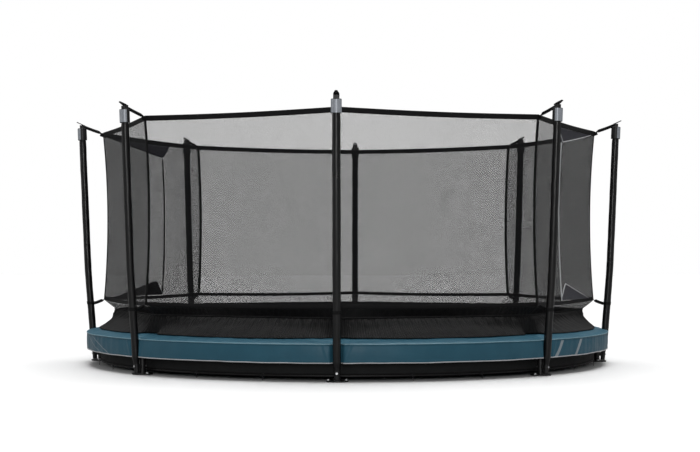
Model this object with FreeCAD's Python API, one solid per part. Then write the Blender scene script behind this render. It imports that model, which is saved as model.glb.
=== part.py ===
"""Round low-frame trampoline with a pole-hung safety enclosure. Millimetres, +Z up.

The origin is on the ground under the centre of the jumping mat. Leg 1 stands on -Y and the legs
run anticlockwise seen from above. Bay 1 is the stretch between leg 1 and leg 2.
"""
import FreeCAD, Part
import math
import os
from FreeCAD import Placement, Rotation, Vector

# ---- driving dimensions -------------------------------------------------------------------
LEGS = 8
BAY = 360.0 / LEGS
HALF_BAY = BAY / 2
FIRST_LEG = -90.0                 # direction of leg 1, degrees from +X

# steel ring and legs
RING_R = 2075.0                   # centre line of the ring
RING_Z = 225.0
RAIL_OD = 42.0
RAIL_WALL = 1.6
SOCKET_OD = 48.0
SOCKET_HALF = 55.0                # half the length of a leg's T-shaped socket
FIT_GAP = 0.2                     # radial clearance of a tube pushed into another
RAIL_END_GAP = 6.0                # from the leg's middle to a rail's end
LEG_OD = 48.0
LEG_WALL = 2.0
FOOT_R = 77.5
FOOT_T = 10.0
FOOT_HOLE_R = 4.5
FOOT_BOLT_ARM = 62.0              # bolts stand this far each side of the leg
FOOT_HEAD_R = 10.0
FOOT_HEAD_T = 8.0
FOOT_WASHER_R = 13.0
FOOT_FREE_OUT = 44.5              # two free anchor holes, this far outwards of the leg
FOOT_FREE_HALF = 44.5             # and this far each side of it

# enclosure poles
POLE_OD = 38.0
POLE_WALL = 1.5
POLE_FOOT = (2127.0, 60.0)        # radius and height of a point on the lower tube
POLE_BEND = (2186.0, 760.0)
POLE_TOP = (2240.0, 1925.0)
POLE_BEND_R = 3000.0
POLE_LOW_Z = 14.0
POLE_JOIN_Z = 1000.0              # where the upper tube's shoulder meets the lower tube
SWAGE_LENGTH = 120.0
FOAM_OD = 58.0
FOAM_ID = 39.0
FOAM_LOW_Z = 84.0
FOAM_TOP_Z = 1858.0
SPACER_Z = (62.0, 172.0)          # heights of the two bolts that hold a pole on its leg
SPACER_WIDE = 34.0
SPACER_TALL = 30.0
BOLT_R = 4.0
BOLT_HOLE_R = 4.4
HEAD_R = 7.5
HEAD_T = 5.0
TUBE_END_GAP = 1.0                # between a tube's end and the bottom of its room

# pole caps and net hooks
CAP_R = 37.0
CAP_LOW_Z = 1853.0
CAP_TOP_Z = 1953.0
CAP_LID = 4.0
REFLECTOR_T = 1.4
REFLECTOR_ARC = 160.0
HOOK_WIDE = 43.0
HOOK_DEEP = 32.0
HOOK_TALL = 26.0
HOOK_PLATE_T = 7.0
HOOK_PLATE_LONG = 70.0
HOOK_PLATE_TILT = 27.0
HOOK_HOLE_R = 5.0

# jumping mat and springs
MAT_R = 1790.0
MAT_T = 3.0
WEB_R = 1830.0
WEB_T = 7.0
SPRINGS_PER_BAY = 12
COIL_R = 11.0
COIL_IN_R = 7.5
COIL_START_R = 1878.0             # distances of the coil's two ends from the middle of the mat
COIL_END_R = 2024.0
WIRE_R = 2.0
HOOK_LOOP_R = 8.0
SPRING_HOLE_R = 4.0
VRING_BAR_R = 1856.0              # the spring's bar of the triangle ring, from the middle
VRING_WEB_R = 1823.0
VRING_BAR_HALF = 9.0
VRING_WEB_HALF = 18.0

# safety net: corner radii of the octagon, by height
NET_T = 1.6
BAND_T = 3.0
NET_TOP_Z = 1918.0
TOP_BAND = 40.0
NET_TOP_R = 2060.0
NET_MID_R = 2020.0
NET_LOW_R = 2045.0
NET_MID_Z = 1180.0
LOW_BAND_TOP_Z = 535.0
LOW_BAND = 30.0
HEM_Z = 434.0
HEM_R = 1958.0
HEM_WIDE = 10.0
SKIRT_LOW_Z = 301.0
SKIRT_LOW_R = 2035.0              # round, on the pad
SKIRT_T = 2.0
SEAM_GAP = 0.5                    # between panels that are sewn edge to edge
WEBBING_WIDE = 30.0
STRAP_WIDE = 25.0
STRAP_T = 2.5
TIE_Z = 478.0

# entrances: bays with a net door, by number of the leg before them
DOOR_BAYS = {"a": 2, "b": 6}
DOOR_EDGE = 0.40                  # the door's free edge, as a share of the bay from its first corner
DOOR_HINGE = 0.95
DOOR_GAP = 4.0
GUSSET_TALL = 112.0
GUSSET_LEAD = 120.0               # how far the gusset reaches past the door's free edge at its top
PATCH_TALL = 120.0
PATCH_WIDE = 800.0
PATCH_LEAD = 120.0                # from the door's free edge to the patch's upper corner
PIPING_R = 4.0

# frame pad and ground wall
PAD_R = 2150.0
PAD_IN_R = 1890.0
PAD_UNDER_Z = 240.0
PAD_OVER_RING_Z = 251.0
PAD_CROWN_Z = 302.0
PAD_SEAM_Z = 262.0
PAD_LOW_Z = 134.0
PAD_SIDE_T = 8.0
PAD_NOTCH_GAP = 3.0
PIPE_CORD_R = 4.5
WALL_R = 2036.0
WALL_T = 2.0
WALL_TOP_Z = 205.0
ROD_R = 8.0
ROD_Z = 36.0
PEG_R = 2046.0
PEG_STEP = 15.0
PEG_RING_R = 12.0
PEG_WIRE_R = 2.5

COS_HALF = math.cos(math.radians(HALF_BAY))
Z_AXIS = Vector(0, 0, 1)
ORIGIN = Vector(0, 0, 0)
NODES = {}


# ---- helpers --------------------------------------------------------------------------------
def turned(shape, degrees):
    """A copy of the shape turned about the mat's axis."""
    copy = shape.copy()
    copy.rotate(ORIGIN, Z_AXIS, degrees)
    return copy


def leg_angle(number):
    return FIRST_LEG + BAY * (number - 1)


def bay_angle(number):
    return leg_angle(number) + HALF_BAY


def at_legs(shape):
    """The shape, drawn at a leg on +X, at each leg."""
    return [turned(shape, leg_angle(n)) for n in range(1, LEGS + 1)]


def at_bays(shape):
    """The shape, drawn at a bay whose middle is on +X, at each bay."""
    return [turned(shape, bay_angle(n)) for n in range(1, LEGS + 1)]


def add(name, shapes):
    """Keeps the solids as one node."""
    solids = [solid for shape in shapes for solid in shape.Solids]
    NODES[name] = solids[0] if len(solids) == 1 else Part.makeCompound(solids)


def rod(radius, start, end):
    """A round bar between two points."""
    axis = end - start
    return Part.makeCylinder(radius, axis.Length, start, axis)


def fused(shapes):
    return shapes[0].fuse(shapes[1:]).removeSplitter()


def outline(points):
    """A flat face in the radial plane through +X, from (radius, height) points."""
    corners = [Vector(r, 0, z) for r, z in points]
    return Part.Face(Part.makePolygon(corners + corners[:1]))


def swept(points, start, arc):
    """The (radius, height) outline turned about the mat's axis."""
    return turned(outline(points).revolve(ORIGIN, Z_AXIS, arc), start)


def ring_bar(centre_r, z, radius, start, arc):
    """A round bar bent about the mat's axis."""
    section = Part.Face(Part.Wire(Part.makeCircle(radius, Vector(centre_r, 0, z), Vector(0, 1, 0))))
    return turned(section.revolve(ORIGIN, Z_AXIS, arc), start)


def wedge(first, last, reach=2400.0, height=2200.0):
    """The sector between two directions, as a three-sided prism."""
    far = [Vector(reach, reach * math.tan(math.radians(a)), -10) for a in (first, last)]
    corners = [Vector(0, 0, -10)] + far
    return Part.Face(Part.makePolygon(corners + corners[:1])).extrude(Vector(0, 0, height))


def flat_panel(points, first=-HALF_BAY, last=HALF_BAY):
    """A net panel of one bay on +X: the outline of (distance, height) points, mitred at its sides."""
    span = 2 * NET_TOP_R
    prism = outline(points).extrude(Vector(0, span, 0))
    prism.translate(Vector(0, -span / 2, 0))
    gap = math.degrees(SEAM_GAP / NET_TOP_R)
    return prism.common(wedge(first + gap, last - gap))


def net_corner_r(z):
    """Radius of the net's corner at a height: drawn in a little between its two bands."""
    if z >= NET_MID_Z:
        share = (z - NET_MID_Z) / (NET_TOP_Z - NET_MID_Z)
        return NET_MID_R + (NET_TOP_R - NET_MID_R) * share
    share = (NET_MID_Z - z) / (NET_MID_Z - LOW_BAND_TOP_Z)
    return NET_MID_R + (NET_LOW_R - NET_MID_R) * share


def leaf(levels, thick):
    """Outline of a thin sheet through (corner radius, height) levels, listed from the top down."""
    outer = [(r * COS_HALF, z) for r, z in levels]
    inner = [(r - thick, z) for r, z in reversed(outer)]
    return outer + inner


# ---- the pole's line ------------------------------------------------------------------------
FOOT_POINT = Vector(POLE_FOOT[0], 0, POLE_FOOT[1])
BEND_POINT = Vector(POLE_BEND[0], 0, POLE_BEND[1])
TOP_POINT = Vector(POLE_TOP[0], 0, POLE_TOP[1])
LOW_DIR = (BEND_POINT - FOOT_POINT).normalize()
TOP_DIR = (TOP_POINT - BEND_POINT).normalize()
BEND_TURN = LOW_DIR.getAngle(TOP_DIR)
BEND_REACH = POLE_BEND_R * math.tan(BEND_TURN / 2)
TOP_LEAN = math.degrees(math.atan2(TOP_DIR.x, TOP_DIR.z))


def pole_point(z):
    """The point of the pole's centre line at a height, on the +X side."""
    direction = LOW_DIR if z < POLE_BEND[1] else TOP_DIR
    return BEND_POINT + direction * ((z - POLE_BEND[1]) / direction.z)


def pole_bar(radius, low, high):
    """A solid round bar along the pole's line between two heights."""
    start = pole_point(low)
    end = pole_point(high)
    if low >= POLE_BEND[1]:
        return rod(radius, start, end)
    before = BEND_POINT - LOW_DIR * BEND_REACH
    after = BEND_POINT + TOP_DIR * BEND_REACH
    to_centre = Vector(-LOW_DIR.z, 0, LOW_DIR.x)
    centre = before + to_centre * POLE_BEND_R
    middle = centre + ((BEND_POINT - centre).normalize() * POLE_BEND_R)
    edges = [
        Part.LineSegment(start, before).toShape(),
        Part.Arc(before, middle, after).toShape(),
        Part.LineSegment(after, end).toShape(),
    ]
    section = Part.Wire(Part.makeCircle(radius, start, LOW_DIR))
    return Part.Wire(edges).makePipeShell([section], True, False)


def on_pole(shape, z):
    """Puts a shape drawn about +Z on the upper tube's axis, its origin at the height z."""
    copy = shape.copy()
    seat = Placement(pole_point(z), Rotation(Vector(0, 1, 0), TOP_LEAN))
    copy.Placement = seat.multiply(shape.Placement)
    return copy


# ---- steel ring, legs and feet ----------------------------------------------------------------
def rail():
    """One of the ring's curved tubes, in the bay on +X, with the springs' holes in its inner side."""
    trim = math.degrees(RAIL_END_GAP / RING_R)
    start = -HALF_BAY + trim
    arc = BAY - 2 * trim
    outer = ring_bar(RING_R, RING_Z, RAIL_OD / 2, start, arc)
    inner = ring_bar(RING_R, RING_Z, RAIL_OD / 2 - RAIL_WALL, start, arc)
    tube = outer.cut(inner)
    drill = rod(SPRING_HOLE_R, Vector(RING_R - RAIL_OD, 0, RING_Z), Vector(RING_R, 0, RING_Z))
    return tube.cut([turned(drill, a) for a in spring_angles()])


def spring_angles():
    """Directions of one bay's springs, from the bay's middle."""
    pitch = BAY / SPRINGS_PER_BAY
    return [-HALF_BAY + pitch * (i + 0.5) for i in range(SPRINGS_PER_BAY)]


def leg():
    """A leg tube welded under the socket that joins two rails."""
    half = math.degrees(SOCKET_HALF / RING_R)
    bore_r = RAIL_OD / 2 + FIT_GAP
    post = rod(LEG_OD / 2, Vector(RING_R, 0, FOOT_T), Vector(RING_R, 0, RING_Z))
    socket = ring_bar(RING_R, RING_Z, SOCKET_OD / 2, -half, 2 * half)
    bore = ring_bar(RING_R, RING_Z, bore_r, -2 * half, 4 * half)
    hollow_top = RING_Z - SOCKET_OD / 2 - LEG_WALL
    hollow = rod(LEG_OD / 2 - LEG_WALL, Vector(RING_R, 0, FOOT_T), Vector(RING_R, 0, hollow_top))
    drills = [bolt_bar(BOLT_HOLE_R, z, -LEG_OD, LEG_OD) for z in SPACER_Z]
    return post.fuse(socket).removeSplitter().cut([bore, hollow] + drills)


def bolt_bar(radius, z, inner, outer):
    """A radial bar at a height, from and to distances measured from the ring's line."""
    return rod(radius, Vector(RING_R + inner, 0, z), Vector(RING_R + outer, 0, z))


def foot_plate():
    """The round plate under a leg: two bolted holes along the ring and two free ones further out."""
    plate = Part.makeCylinder(FOOT_R, FOOT_T, Vector(RING_R, 0, 0))
    plate = plate.makeChamfer(1.2, [plate.Edges[0]])
    arms = [(0, FOOT_BOLT_ARM), (FOOT_FREE_OUT, FOOT_FREE_HALF)]
    arms += [(x, -y) for x, y in arms]
    holes = [Part.makeCylinder(FOOT_HOLE_R, FOOT_T, Vector(RING_R + x, y, 0)) for x, y in arms]
    return plate.cut(holes)


def foot_bolts():
    """Two bolts through a foot plate, each with a washer face and a domed head."""
    bolts = []
    for side in (-1, 1):
        y = side * FOOT_BOLT_ARM
        shank = Part.makeCylinder(BOLT_R, FOOT_T - 1, Vector(RING_R, y, 1))
        washer = Part.makeCylinder(FOOT_WASHER_R, 2.0, Vector(RING_R, y, FOOT_T))
        head = Part.makeCylinder(FOOT_HEAD_R, FOOT_HEAD_T, Vector(RING_R, y, FOOT_T + 2.0))
        head = head.makeChamfer(2.0, [head.Edges[0]])
        bolts.append(fused([shank, washer, head]))
    return bolts


# ---- poles --------------------------------------------------------------------------------------
def lower_tube():
    solid = pole_bar(POLE_OD / 2, POLE_LOW_Z, POLE_JOIN_Z)
    bore = pole_bar(POLE_OD / 2 - POLE_WALL, POLE_LOW_Z, POLE_JOIN_Z)
    drills = [bolt_bar(BOLT_HOLE_R, z, LEG_OD / 2, 2 * LEG_OD) for z in SPACER_Z]
    return solid.cut([bore] + drills)


def upper_tube():
    """The upper tube, with its narrowed end pushed down inside the lower one."""
    narrow_r = POLE_OD / 2 - POLE_WALL - FIT_GAP
    wide = rod(POLE_OD / 2, pole_point(POLE_JOIN_Z), pole_point(CAP_TOP_Z - CAP_LID - TUBE_END_GAP))
    narrow = rod(narrow_r, pole_point(POLE_JOIN_Z - SWAGE_LENGTH), pole_point(POLE_JOIN_Z))
    bore = rod(narrow_r - POLE_WALL, pole_point(POLE_JOIN_Z - 2 * SWAGE_LENGTH), pole_point(2 * POLE_TOP[1]))
    return wide.fuse(narrow).cut(bore)


def foam_sleeve():
    """The padded sleeve round a pole, let in where the upper bolt and its spacer pass."""
    solid = pole_bar(FOAM_OD / 2, FOAM_LOW_Z, FOAM_TOP_Z)
    bore = pole_bar(FOAM_ID / 2, FOAM_LOW_Z, FOAM_TOP_Z)
    z = SPACER_Z[1]
    pole_arm = pole_point(z).x - RING_R
    pocket = bolt_bar(HEAD_R + 1.5, z, pole_arm, pole_arm + POLE_OD / 2 + HEAD_T + 1.5)
    gap = 1.5
    wide = SPACER_WIDE + 2 * gap
    tall = SPACER_TALL + 2 * gap
    slit = Part.makeBox(LEG_OD, wide, tall, Vector(pole_point(z).x - LEG_OD, -wide / 2, z - tall / 2))
    return solid.cut([bore, pocket, slit])


def spacer(z):
    """The saddle between a leg and its pole, hollowed to sit on both tubes."""
    reach = pole_point(z).x - RING_R
    low = z - SPACER_TALL / 2
    block = Part.makeBox(reach, SPACER_WIDE, SPACER_TALL, Vector(RING_R, -SPACER_WIDE / 2, low))
    leg_seat = Part.makeCylinder(LEG_OD / 2, SPACER_TALL, Vector(RING_R, 0, low))
    pole_seat = pole_bar(POLE_OD / 2, POLE_LOW_Z, POLE_JOIN_Z)
    return block.cut([leg_seat, pole_seat, bolt_bar(BOLT_HOLE_R, z, 0, reach)])


def pole_bolt(z):
    """A bolt through pole, spacer and leg, its head outside the pole."""
    pole_face = pole_point(z).x - RING_R + POLE_OD / 2
    shank = bolt_bar(BOLT_R, z, -LEG_OD / 2 - 9, pole_face + 1)
    head = bolt_bar(HEAD_R, z, pole_face + 0.6, pole_face + HEAD_T)
    return shank.fuse(head).removeSplitter()


def pole_nut(z):
    """The hexagon nut of a pole bolt, against the leg's inner side."""
    thick = 6.5
    corners = [
        Vector(0, HEAD_R * math.sin(math.radians(60 * i)), HEAD_R * math.cos(math.radians(60 * i)))
        for i in range(6)
    ]
    nut = Part.Face(Part.makePolygon(corners + corners[:1])).extrude(Vector(thick, 0, 0))
    nut.translate(Vector(RING_R - LEG_OD / 2 - thick, 0, z))
    return nut.cut(bolt_bar(BOLT_R + 0.1, z, -2 * LEG_OD, LEG_OD))


# ---- pole caps, reflectors and hooks --------------------------------------------------------------
def cap_sleeve():
    """The cap over the top of a pole and its foam."""
    tall = CAP_TOP_Z - CAP_LOW_Z
    body = Part.makeCylinder(CAP_R, tall)
    body = body.makeFillet(3.0, [body.Edges[0]])
    foam_room = Part.makeCylinder(FOAM_OD / 2 + 0.5, FOAM_TOP_Z - CAP_LOW_Z + 2)
    tube_room = Part.makeCylinder(POLE_OD / 2 + 0.3, tall - CAP_LID)
    return on_pole(body.cut([foam_room, tube_room]), CAP_LOW_Z)


def cap_reflector():
    """The light half-round shell on the outward side of a cap."""
    tall = CAP_TOP_Z - CAP_LOW_Z - 8
    outer = Part.makeCylinder(CAP_R + REFLECTOR_T, tall, Vector(0, 0, 4), Z_AXIS, REFLECTOR_ARC)
    inner = Part.makeCylinder(CAP_R, tall, Vector(0, 0, 4))
    shell = outer.cut(inner)
    shell.rotate(ORIGIN, Z_AXIS, -REFLECTOR_ARC / 2)
    return on_pole(shell, CAP_LOW_Z)


def net_hook():
    """A block on the cap that carries a tilted, tapered plate with an eye near its tip."""
    block = Part.makeBox(HOOK_DEEP, HOOK_WIDE, HOOK_TALL, Vector(-HOOK_DEEP / 2, -HOOK_WIDE / 2, 0))
    uprights = [edge for edge in block.Edges if edge.tangentAt(edge.FirstParameter).cross(Z_AXIS).Length < 0.1]
    block = block.makeFillet(5.0, uprights)
    half = HOOK_WIDE / 2
    tip = 8.0
    shoulder = HOOK_PLATE_LONG * 0.4
    side = [(0, -half), (shoulder, -half), (HOOK_PLATE_LONG, -tip), (HOOK_PLATE_LONG, tip)]
    side += [(shoulder, half), (0, half)]
    corners = [Vector(x, y, 0) for x, y in side]
    plate = Part.Face(Part.makePolygon(corners + corners[:1])).extrude(Vector(0, 0, HOOK_PLATE_T))
    plate = plate.cut(Part.makeCylinder(HOOK_HOLE_R, HOOK_PLATE_T, Vector(HOOK_PLATE_LONG * 0.72, 0, 0)))
    plate.rotate(ORIGIN, Vector(0, 1, 0), -HOOK_PLATE_TILT)
    plate.translate(Vector(-HOOK_DEEP / 2 - 3, 0, HOOK_TALL - HOOK_PLATE_T))
    return on_pole(fused([block, plate]), CAP_TOP_Z)


def band_between(start, end, wide, thick):
    """A flat strap between two points of the radial plane."""
    along = end - start
    strap = Part.makeBox(along.Length, wide, thick, Vector(0, -wide / 2, -thick / 2))
    lean = -math.degrees(math.atan2(along.z, along.x))
    strap.Placement = Placement(start, Rotation(Vector(0, 1, 0), lean))
    return strap


def top_strap():
    """The strap from a hook block down to the net's top corner, where it is sewn to a tab."""
    block_side = pole_point(CAP_TOP_Z + HOOK_TALL / 2)
    start = block_side - Vector(HOOK_DEEP / 2 + 0.9, 0, 0)
    corner = Vector(NET_TOP_R + BAND_T + 4, 0, NET_TOP_Z - 8)
    return band_between(corner, start, STRAP_WIDE, STRAP_T)


def lower_tie():
    """The strap from the net's lower corner to a loop round the pole."""
    middle = pole_point(TIE_Z)
    loop_r = FOAM_OD / 2 + 0.6
    ring = Part.makeCylinder(loop_r + STRAP_T, STRAP_WIDE).cut(Part.makeCylinder(loop_r, STRAP_WIDE))
    lean = math.degrees(math.atan2(LOW_DIR.x, LOW_DIR.z))
    ring.Placement = Placement(middle - LOW_DIR * (STRAP_WIDE / 2), Rotation(Vector(0, 1, 0), lean))
    start = Vector(NET_LOW_R + BAND_T + 3, 0, LOW_BAND_TOP_Z - LOW_BAND / 2)
    end = middle - Vector(loop_r + STRAP_T / 2, 0, 0)
    return ring.fuse(band_between(start, end, STRAP_WIDE, STRAP_T)).removeSplitter()


# ---- safety net -----------------------------------------------------------------------------------
PANEL_TOP_Z = NET_TOP_Z - TOP_BAND - SEAM_GAP
PANEL_LOW_Z = LOW_BAND_TOP_Z + SEAM_GAP
MESH_LOW_Z = HEM_Z + HEM_WIDE / 2 + SEAM_GAP


def panel_levels(top, low):
    """Corner radii of the main net between two heights."""
    heights = [top, NET_MID_Z, low]
    return [(net_corner_r(z), z) for z in heights]


def top_band():
    """One bay of the webbing that carries the net's upper edge."""
    top = NET_TOP_R + BAND_T / 2
    return flat_panel(leaf([(top, NET_TOP_Z), (top, NET_TOP_Z - TOP_BAND)], BAND_T))


def low_band():
    """One bay of the webbing along the net's foot."""
    low = NET_LOW_R + BAND_T / 2
    return flat_panel(leaf([(low, LOW_BAND_TOP_Z), (low, LOW_BAND_TOP_Z - LOW_BAND)], BAND_T))


def low_mesh():
    """One bay of mesh that draws in from the lower band to the hem."""
    top = LOW_BAND_TOP_Z - LOW_BAND - SEAM_GAP
    return flat_panel(leaf([(NET_LOW_R, top), (HEM_R, MESH_LOW_Z)], NET_T))


def hem():
    """One bay of the hem that gathers mesh and skirts."""
    outer = HEM_R + HEM_WIDE / 2
    half = HEM_WIDE / 2
    return flat_panel(leaf([(outer, HEM_Z + half), (outer, HEM_Z - half)], HEM_WIDE))


def skirt():
    """One bay of the outer skirt, from the straight hem out to its round edge on the pad."""
    return gathered((HEM_R * COS_HALF, hem_foot()), (SKIRT_LOW_R, SKIRT_LOW_Z))


def inner_skirt():
    """One bay of the skirt inside the pad, from the straight hem down to the round edge of the mat."""
    return gathered(((HEM_R - 6) * COS_HALF, hem_foot()), (WEB_R - 8, RING_Z + WEB_T / 2 + SEAM_GAP))


def hem_foot():
    return HEM_Z - HEM_WIDE / 2 - SEAM_GAP


def gathered(straight, round_edge, steps=6):
    """One bay of cloth between a straight upper edge and a round lower one, (distance, height) each."""
    rims = []
    for offset in (0, SKIRT_T):
        top = []
        low = []
        for i in range(steps + 1):
            a = math.radians((-HALF_BAY + BAY * i / steps) * (1 - SEAM_GAP / 400))
            top_r = (straight[0] - offset) / math.cos(a)
            low_r = round_edge[0] - offset
            top.append(Vector(top_r * math.cos(a), top_r * math.sin(a), straight[1]))
            low.append(Vector(low_r * math.cos(a), low_r * math.sin(a), round_edge[1]))
        rims.append((top, low))
    (out_top, out_low), (in_top, in_low) = rims
    faces = strip(out_top, out_low) + strip(in_top, in_low)
    faces += strip(out_top, in_top) + strip(out_low, in_low)
    for i in (0, steps):
        faces += strip([out_top[i], out_low[i]], [in_top[i], in_low[i]])
    solid = Part.makeSolid(Part.makeShell(faces))
    if solid.Volume < 0:
        solid.reverse()
    return solid


def strip(first, second):
    """Triangles between two rows of points."""
    faces = []
    for i in range(len(first) - 1):
        for corners in ((first[i], first[i + 1], second[i]), (first[i + 1], second[i + 1], second[i])):
            faces.append(Part.Face(Part.makePolygon(list(corners) + [corners[0]])))
    return faces


def corner_webbing():
    """The webbing sewn down a corner of the net, from band to band."""
    lift = BAND_T / 2 + 0.3
    levels = [(r + lift + STRAP_T, z) for r, z in panel_levels(PANEL_TOP_Z, PANEL_LOW_Z)]
    back = [(r - STRAP_T, z) for r, z in reversed(levels)]
    strap = outline(levels + back).extrude(Vector(0, WEBBING_WIDE, 0))
    strap.translate(Vector(0, -WEBBING_WIDE / 2, 0))
    return strap


# ---- entrances --------------------------------------------------------------------------------------
HALF_SIDE = NET_TOP_R * math.sin(math.radians(HALF_BAY))
DOOR_EDGE_Y = -HALF_SIDE + 2 * HALF_SIDE * DOOR_EDGE
DOOR_HINGE_Y = -HALF_SIDE + 2 * HALF_SIDE * DOOR_HINGE
HINGE_X = NET_TOP_R * COS_HALF + 1.0


def slab(low_y, high_y, low_z=0.0, high_z=2200.0):
    """A block across the net's side on +X, for trimming."""
    return Part.makeBox(400, high_y - low_y, high_z - low_z, Vector(1700, low_y, low_z))


def across_side(points):
    """A prism through the net's side on +X, from (distance along it, height) corners."""
    corners = [Vector(1700, y, z) for y, z in points]
    return Part.Face(Part.makePolygon(corners + corners[:1])).extrude(Vector(400, 0, 0))


def gusset_prism(margin):
    """The three-cornered space of a gusset, under the top band, drawn in at its two lower sides."""
    over = PANEL_TOP_Z + 50
    tip = (DOOR_EDGE_Y, PANEL_TOP_Z - GUSSET_TALL + 2 * margin)
    lead = (DOOR_EDGE_Y - GUSSET_LEAD + margin, PANEL_TOP_Z)
    far = (DOOR_HINGE_Y - margin, PANEL_TOP_Z)
    return across_side([tip, far, (far[0], over), (lead[0], over), lead])


def plain_panel():
    return flat_panel(leaf(panel_levels(PANEL_TOP_Z, PANEL_LOW_Z), NET_T))


def door_surround():
    """The fixed net each side of a door: a wide piece at its free edge and a strip at its hinge."""
    panel = plain_panel()
    wide = panel.common(slab(-HALF_SIDE, DOOR_EDGE_Y - DOOR_GAP)).cut(gusset_prism(0))
    strip_piece = panel.common(slab(DOOR_HINGE_Y + DOOR_GAP, HALF_SIDE))
    return [wide, strip_piece]


def door_flap():
    """The net door, hung from its hinge side and free along the other."""
    panel = plain_panel().common(slab(DOOR_EDGE_Y + 2 * PIPING_R, DOOR_HINGE_Y, PANEL_LOW_Z + DOOR_GAP))
    panel = panel.cut(gusset_prism(-3 * DOOR_GAP))
    return panel.cut(patch_prism(0))


def patch_prism(margin):
    """The three-cornered space of the patch at the foot of a door's free edge."""
    y = DOOR_EDGE_Y + 2 * PIPING_R + margin
    z = PANEL_LOW_Z + DOOR_GAP
    return across_side([
        (y, z),
        (y + PATCH_WIDE - 4 * margin, z),
        (y + PATCH_LEAD, z + PATCH_TALL - margin),
    ])


def door_patch():
    """The solid cloth patch at the foot of the door's free edge."""
    levels = panel_levels(PANEL_TOP_Z, PANEL_LOW_Z)
    thicker = flat_panel(leaf(levels, BAND_T))
    return thicker.common(patch_prism(SEAM_GAP))


def door_piping():
    """The light cord down the door's free edge."""
    y = DOOR_EDGE_Y + PIPING_R
    top_z = PANEL_TOP_Z - GUSSET_TALL - 4 * DOOR_GAP
    points = [
        Vector(net_corner_r(z) * COS_HALF - PIPING_R, y, z)
        for z in (PANEL_LOW_Z + DOOR_GAP, NET_MID_Z, top_z)
    ]
    bars = [rod(PIPING_R, a, b) for a, b in zip(points, points[1:])]
    return fused(bars + [Part.makeSphere(PIPING_R, points[1])])


def gusset():
    """The solid cloth triangle between the top band and a door."""
    return plain_panel().common(gusset_prism(SEAM_GAP))


def gusset_piping():
    """The light cord along the gusset's two lower edges."""
    start_z = PANEL_TOP_Z - GUSSET_TALL
    end_y = DOOR_HINGE_Y - 40
    share = (end_y - DOOR_EDGE_Y) / (DOOR_HINGE_Y - DOOR_EDGE_Y)
    end_z = start_z + GUSSET_TALL * share
    out = NET_TOP_R * COS_HALF + PIPING_R + 0.5
    tip = Vector(out, DOOR_EDGE_Y, start_z + 4)
    lead = Vector(out, DOOR_EDGE_Y - GUSSET_LEAD, PANEL_TOP_Z - 4)
    rise = rod(PIPING_R / 2, tip, Vector(out, end_y, end_z + 4))
    return fused([rise, rod(PIPING_R / 2, lead, tip), Part.makeSphere(PIPING_R / 2, tip)])


# ---- jumping mat and springs ---------------------------------------------------------------------------
def spring():
    """A coil's envelope with the hook that holds its ring and the hook that enters the rail."""
    coil = rod(COIL_R, Vector(COIL_START_R, 0, RING_Z), Vector(COIL_END_R, 0, RING_Z))
    coil = coil.cut(rod(COIL_IN_R, Vector(COIL_START_R + 4, 0, RING_Z), Vector(COIL_END_R - 4, 0, RING_Z)))
    loop_x = VRING_BAR_R + HOOK_LOOP_R - 2 * WIRE_R - 0.5
    loop = Part.makeTorus(HOOK_LOOP_R, WIRE_R, Vector(loop_x, 0, RING_Z), Vector(0, 1, 0))
    neck = rod(WIRE_R, Vector(loop_x + HOOK_LOOP_R, 0, RING_Z), Vector(COIL_START_R + 1, 0, RING_Z))
    turn_x = RING_R - RAIL_OD / 2 + 8
    tail = rod(WIRE_R, Vector(COIL_END_R - 1, 0, RING_Z), Vector(turn_x, 0, RING_Z))
    elbow = Part.makeSphere(WIRE_R, Vector(turn_x, 0, RING_Z))
    tip = rod(WIRE_R, Vector(turn_x, 0, RING_Z), Vector(turn_x, 0, RING_Z - 10))
    return fused([coil, neck, loop, tail, elbow, tip])


def v_ring():
    """The steel ring sewn in the mat's edge webbing, as a flat bar bent to four sides."""
    low_z = RING_Z - WIRE_R
    corners = [
        Vector(VRING_BAR_R, -VRING_BAR_HALF, low_z),
        Vector(VRING_BAR_R, VRING_BAR_HALF, low_z),
        Vector(VRING_WEB_R, VRING_WEB_HALF, low_z),
        Vector(VRING_WEB_R, -VRING_WEB_HALF, low_z),
    ]
    middle = Part.Face(Part.makePolygon(corners + corners[:1]))
    sharp = 2
    outer = middle.makeOffset2D(WIRE_R, join=sharp).extrude(Vector(0, 0, 2 * WIRE_R))
    inner = middle.makeOffset2D(-WIRE_R, join=sharp).extrude(Vector(0, 0, 2 * WIRE_R))
    return outer.cut(inner)


def all_springs(shape):
    """The shape, drawn on +X, at every spring."""
    return [turned(shape, bay_angle(n) + a) for n in range(1, LEGS + 1) for a in spring_angles()]


# ---- frame pad and ground wall ----------------------------------------------------------------------------
def pad_notched(points):
    """One bay of a (radius, height) outline, let in at the poles."""
    gap = math.degrees(SEAM_GAP / PAD_R)
    panel = swept(points, -HALF_BAY + gap, BAY - 2 * gap)
    notch = pole_bar(FOAM_OD / 2 + PAD_NOTCH_GAP, POLE_LOW_Z, POLE_JOIN_Z)
    return panel.cut([turned(notch, -HALF_BAY), turned(notch, HALF_BAY)])


def pad_panel():
    """One bay of the cushion over springs and ring."""
    return pad_notched([
        (PAD_IN_R, PAD_UNDER_Z),
        (RING_R - SOCKET_OD, PAD_OVER_RING_Z),
        (PAD_R, PAD_OVER_RING_Z),
        (PAD_R, PAD_SEAM_Z),
        (PAD_R - 18, PAD_CROWN_Z - 26),
        (PAD_R - 60, PAD_CROWN_Z - 15),
        (PAD_R - 150, PAD_CROWN_Z),
        (PAD_IN_R + 60, PAD_CROWN_Z),
        (PAD_IN_R, PAD_CROWN_Z - 20),
    ])


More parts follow.
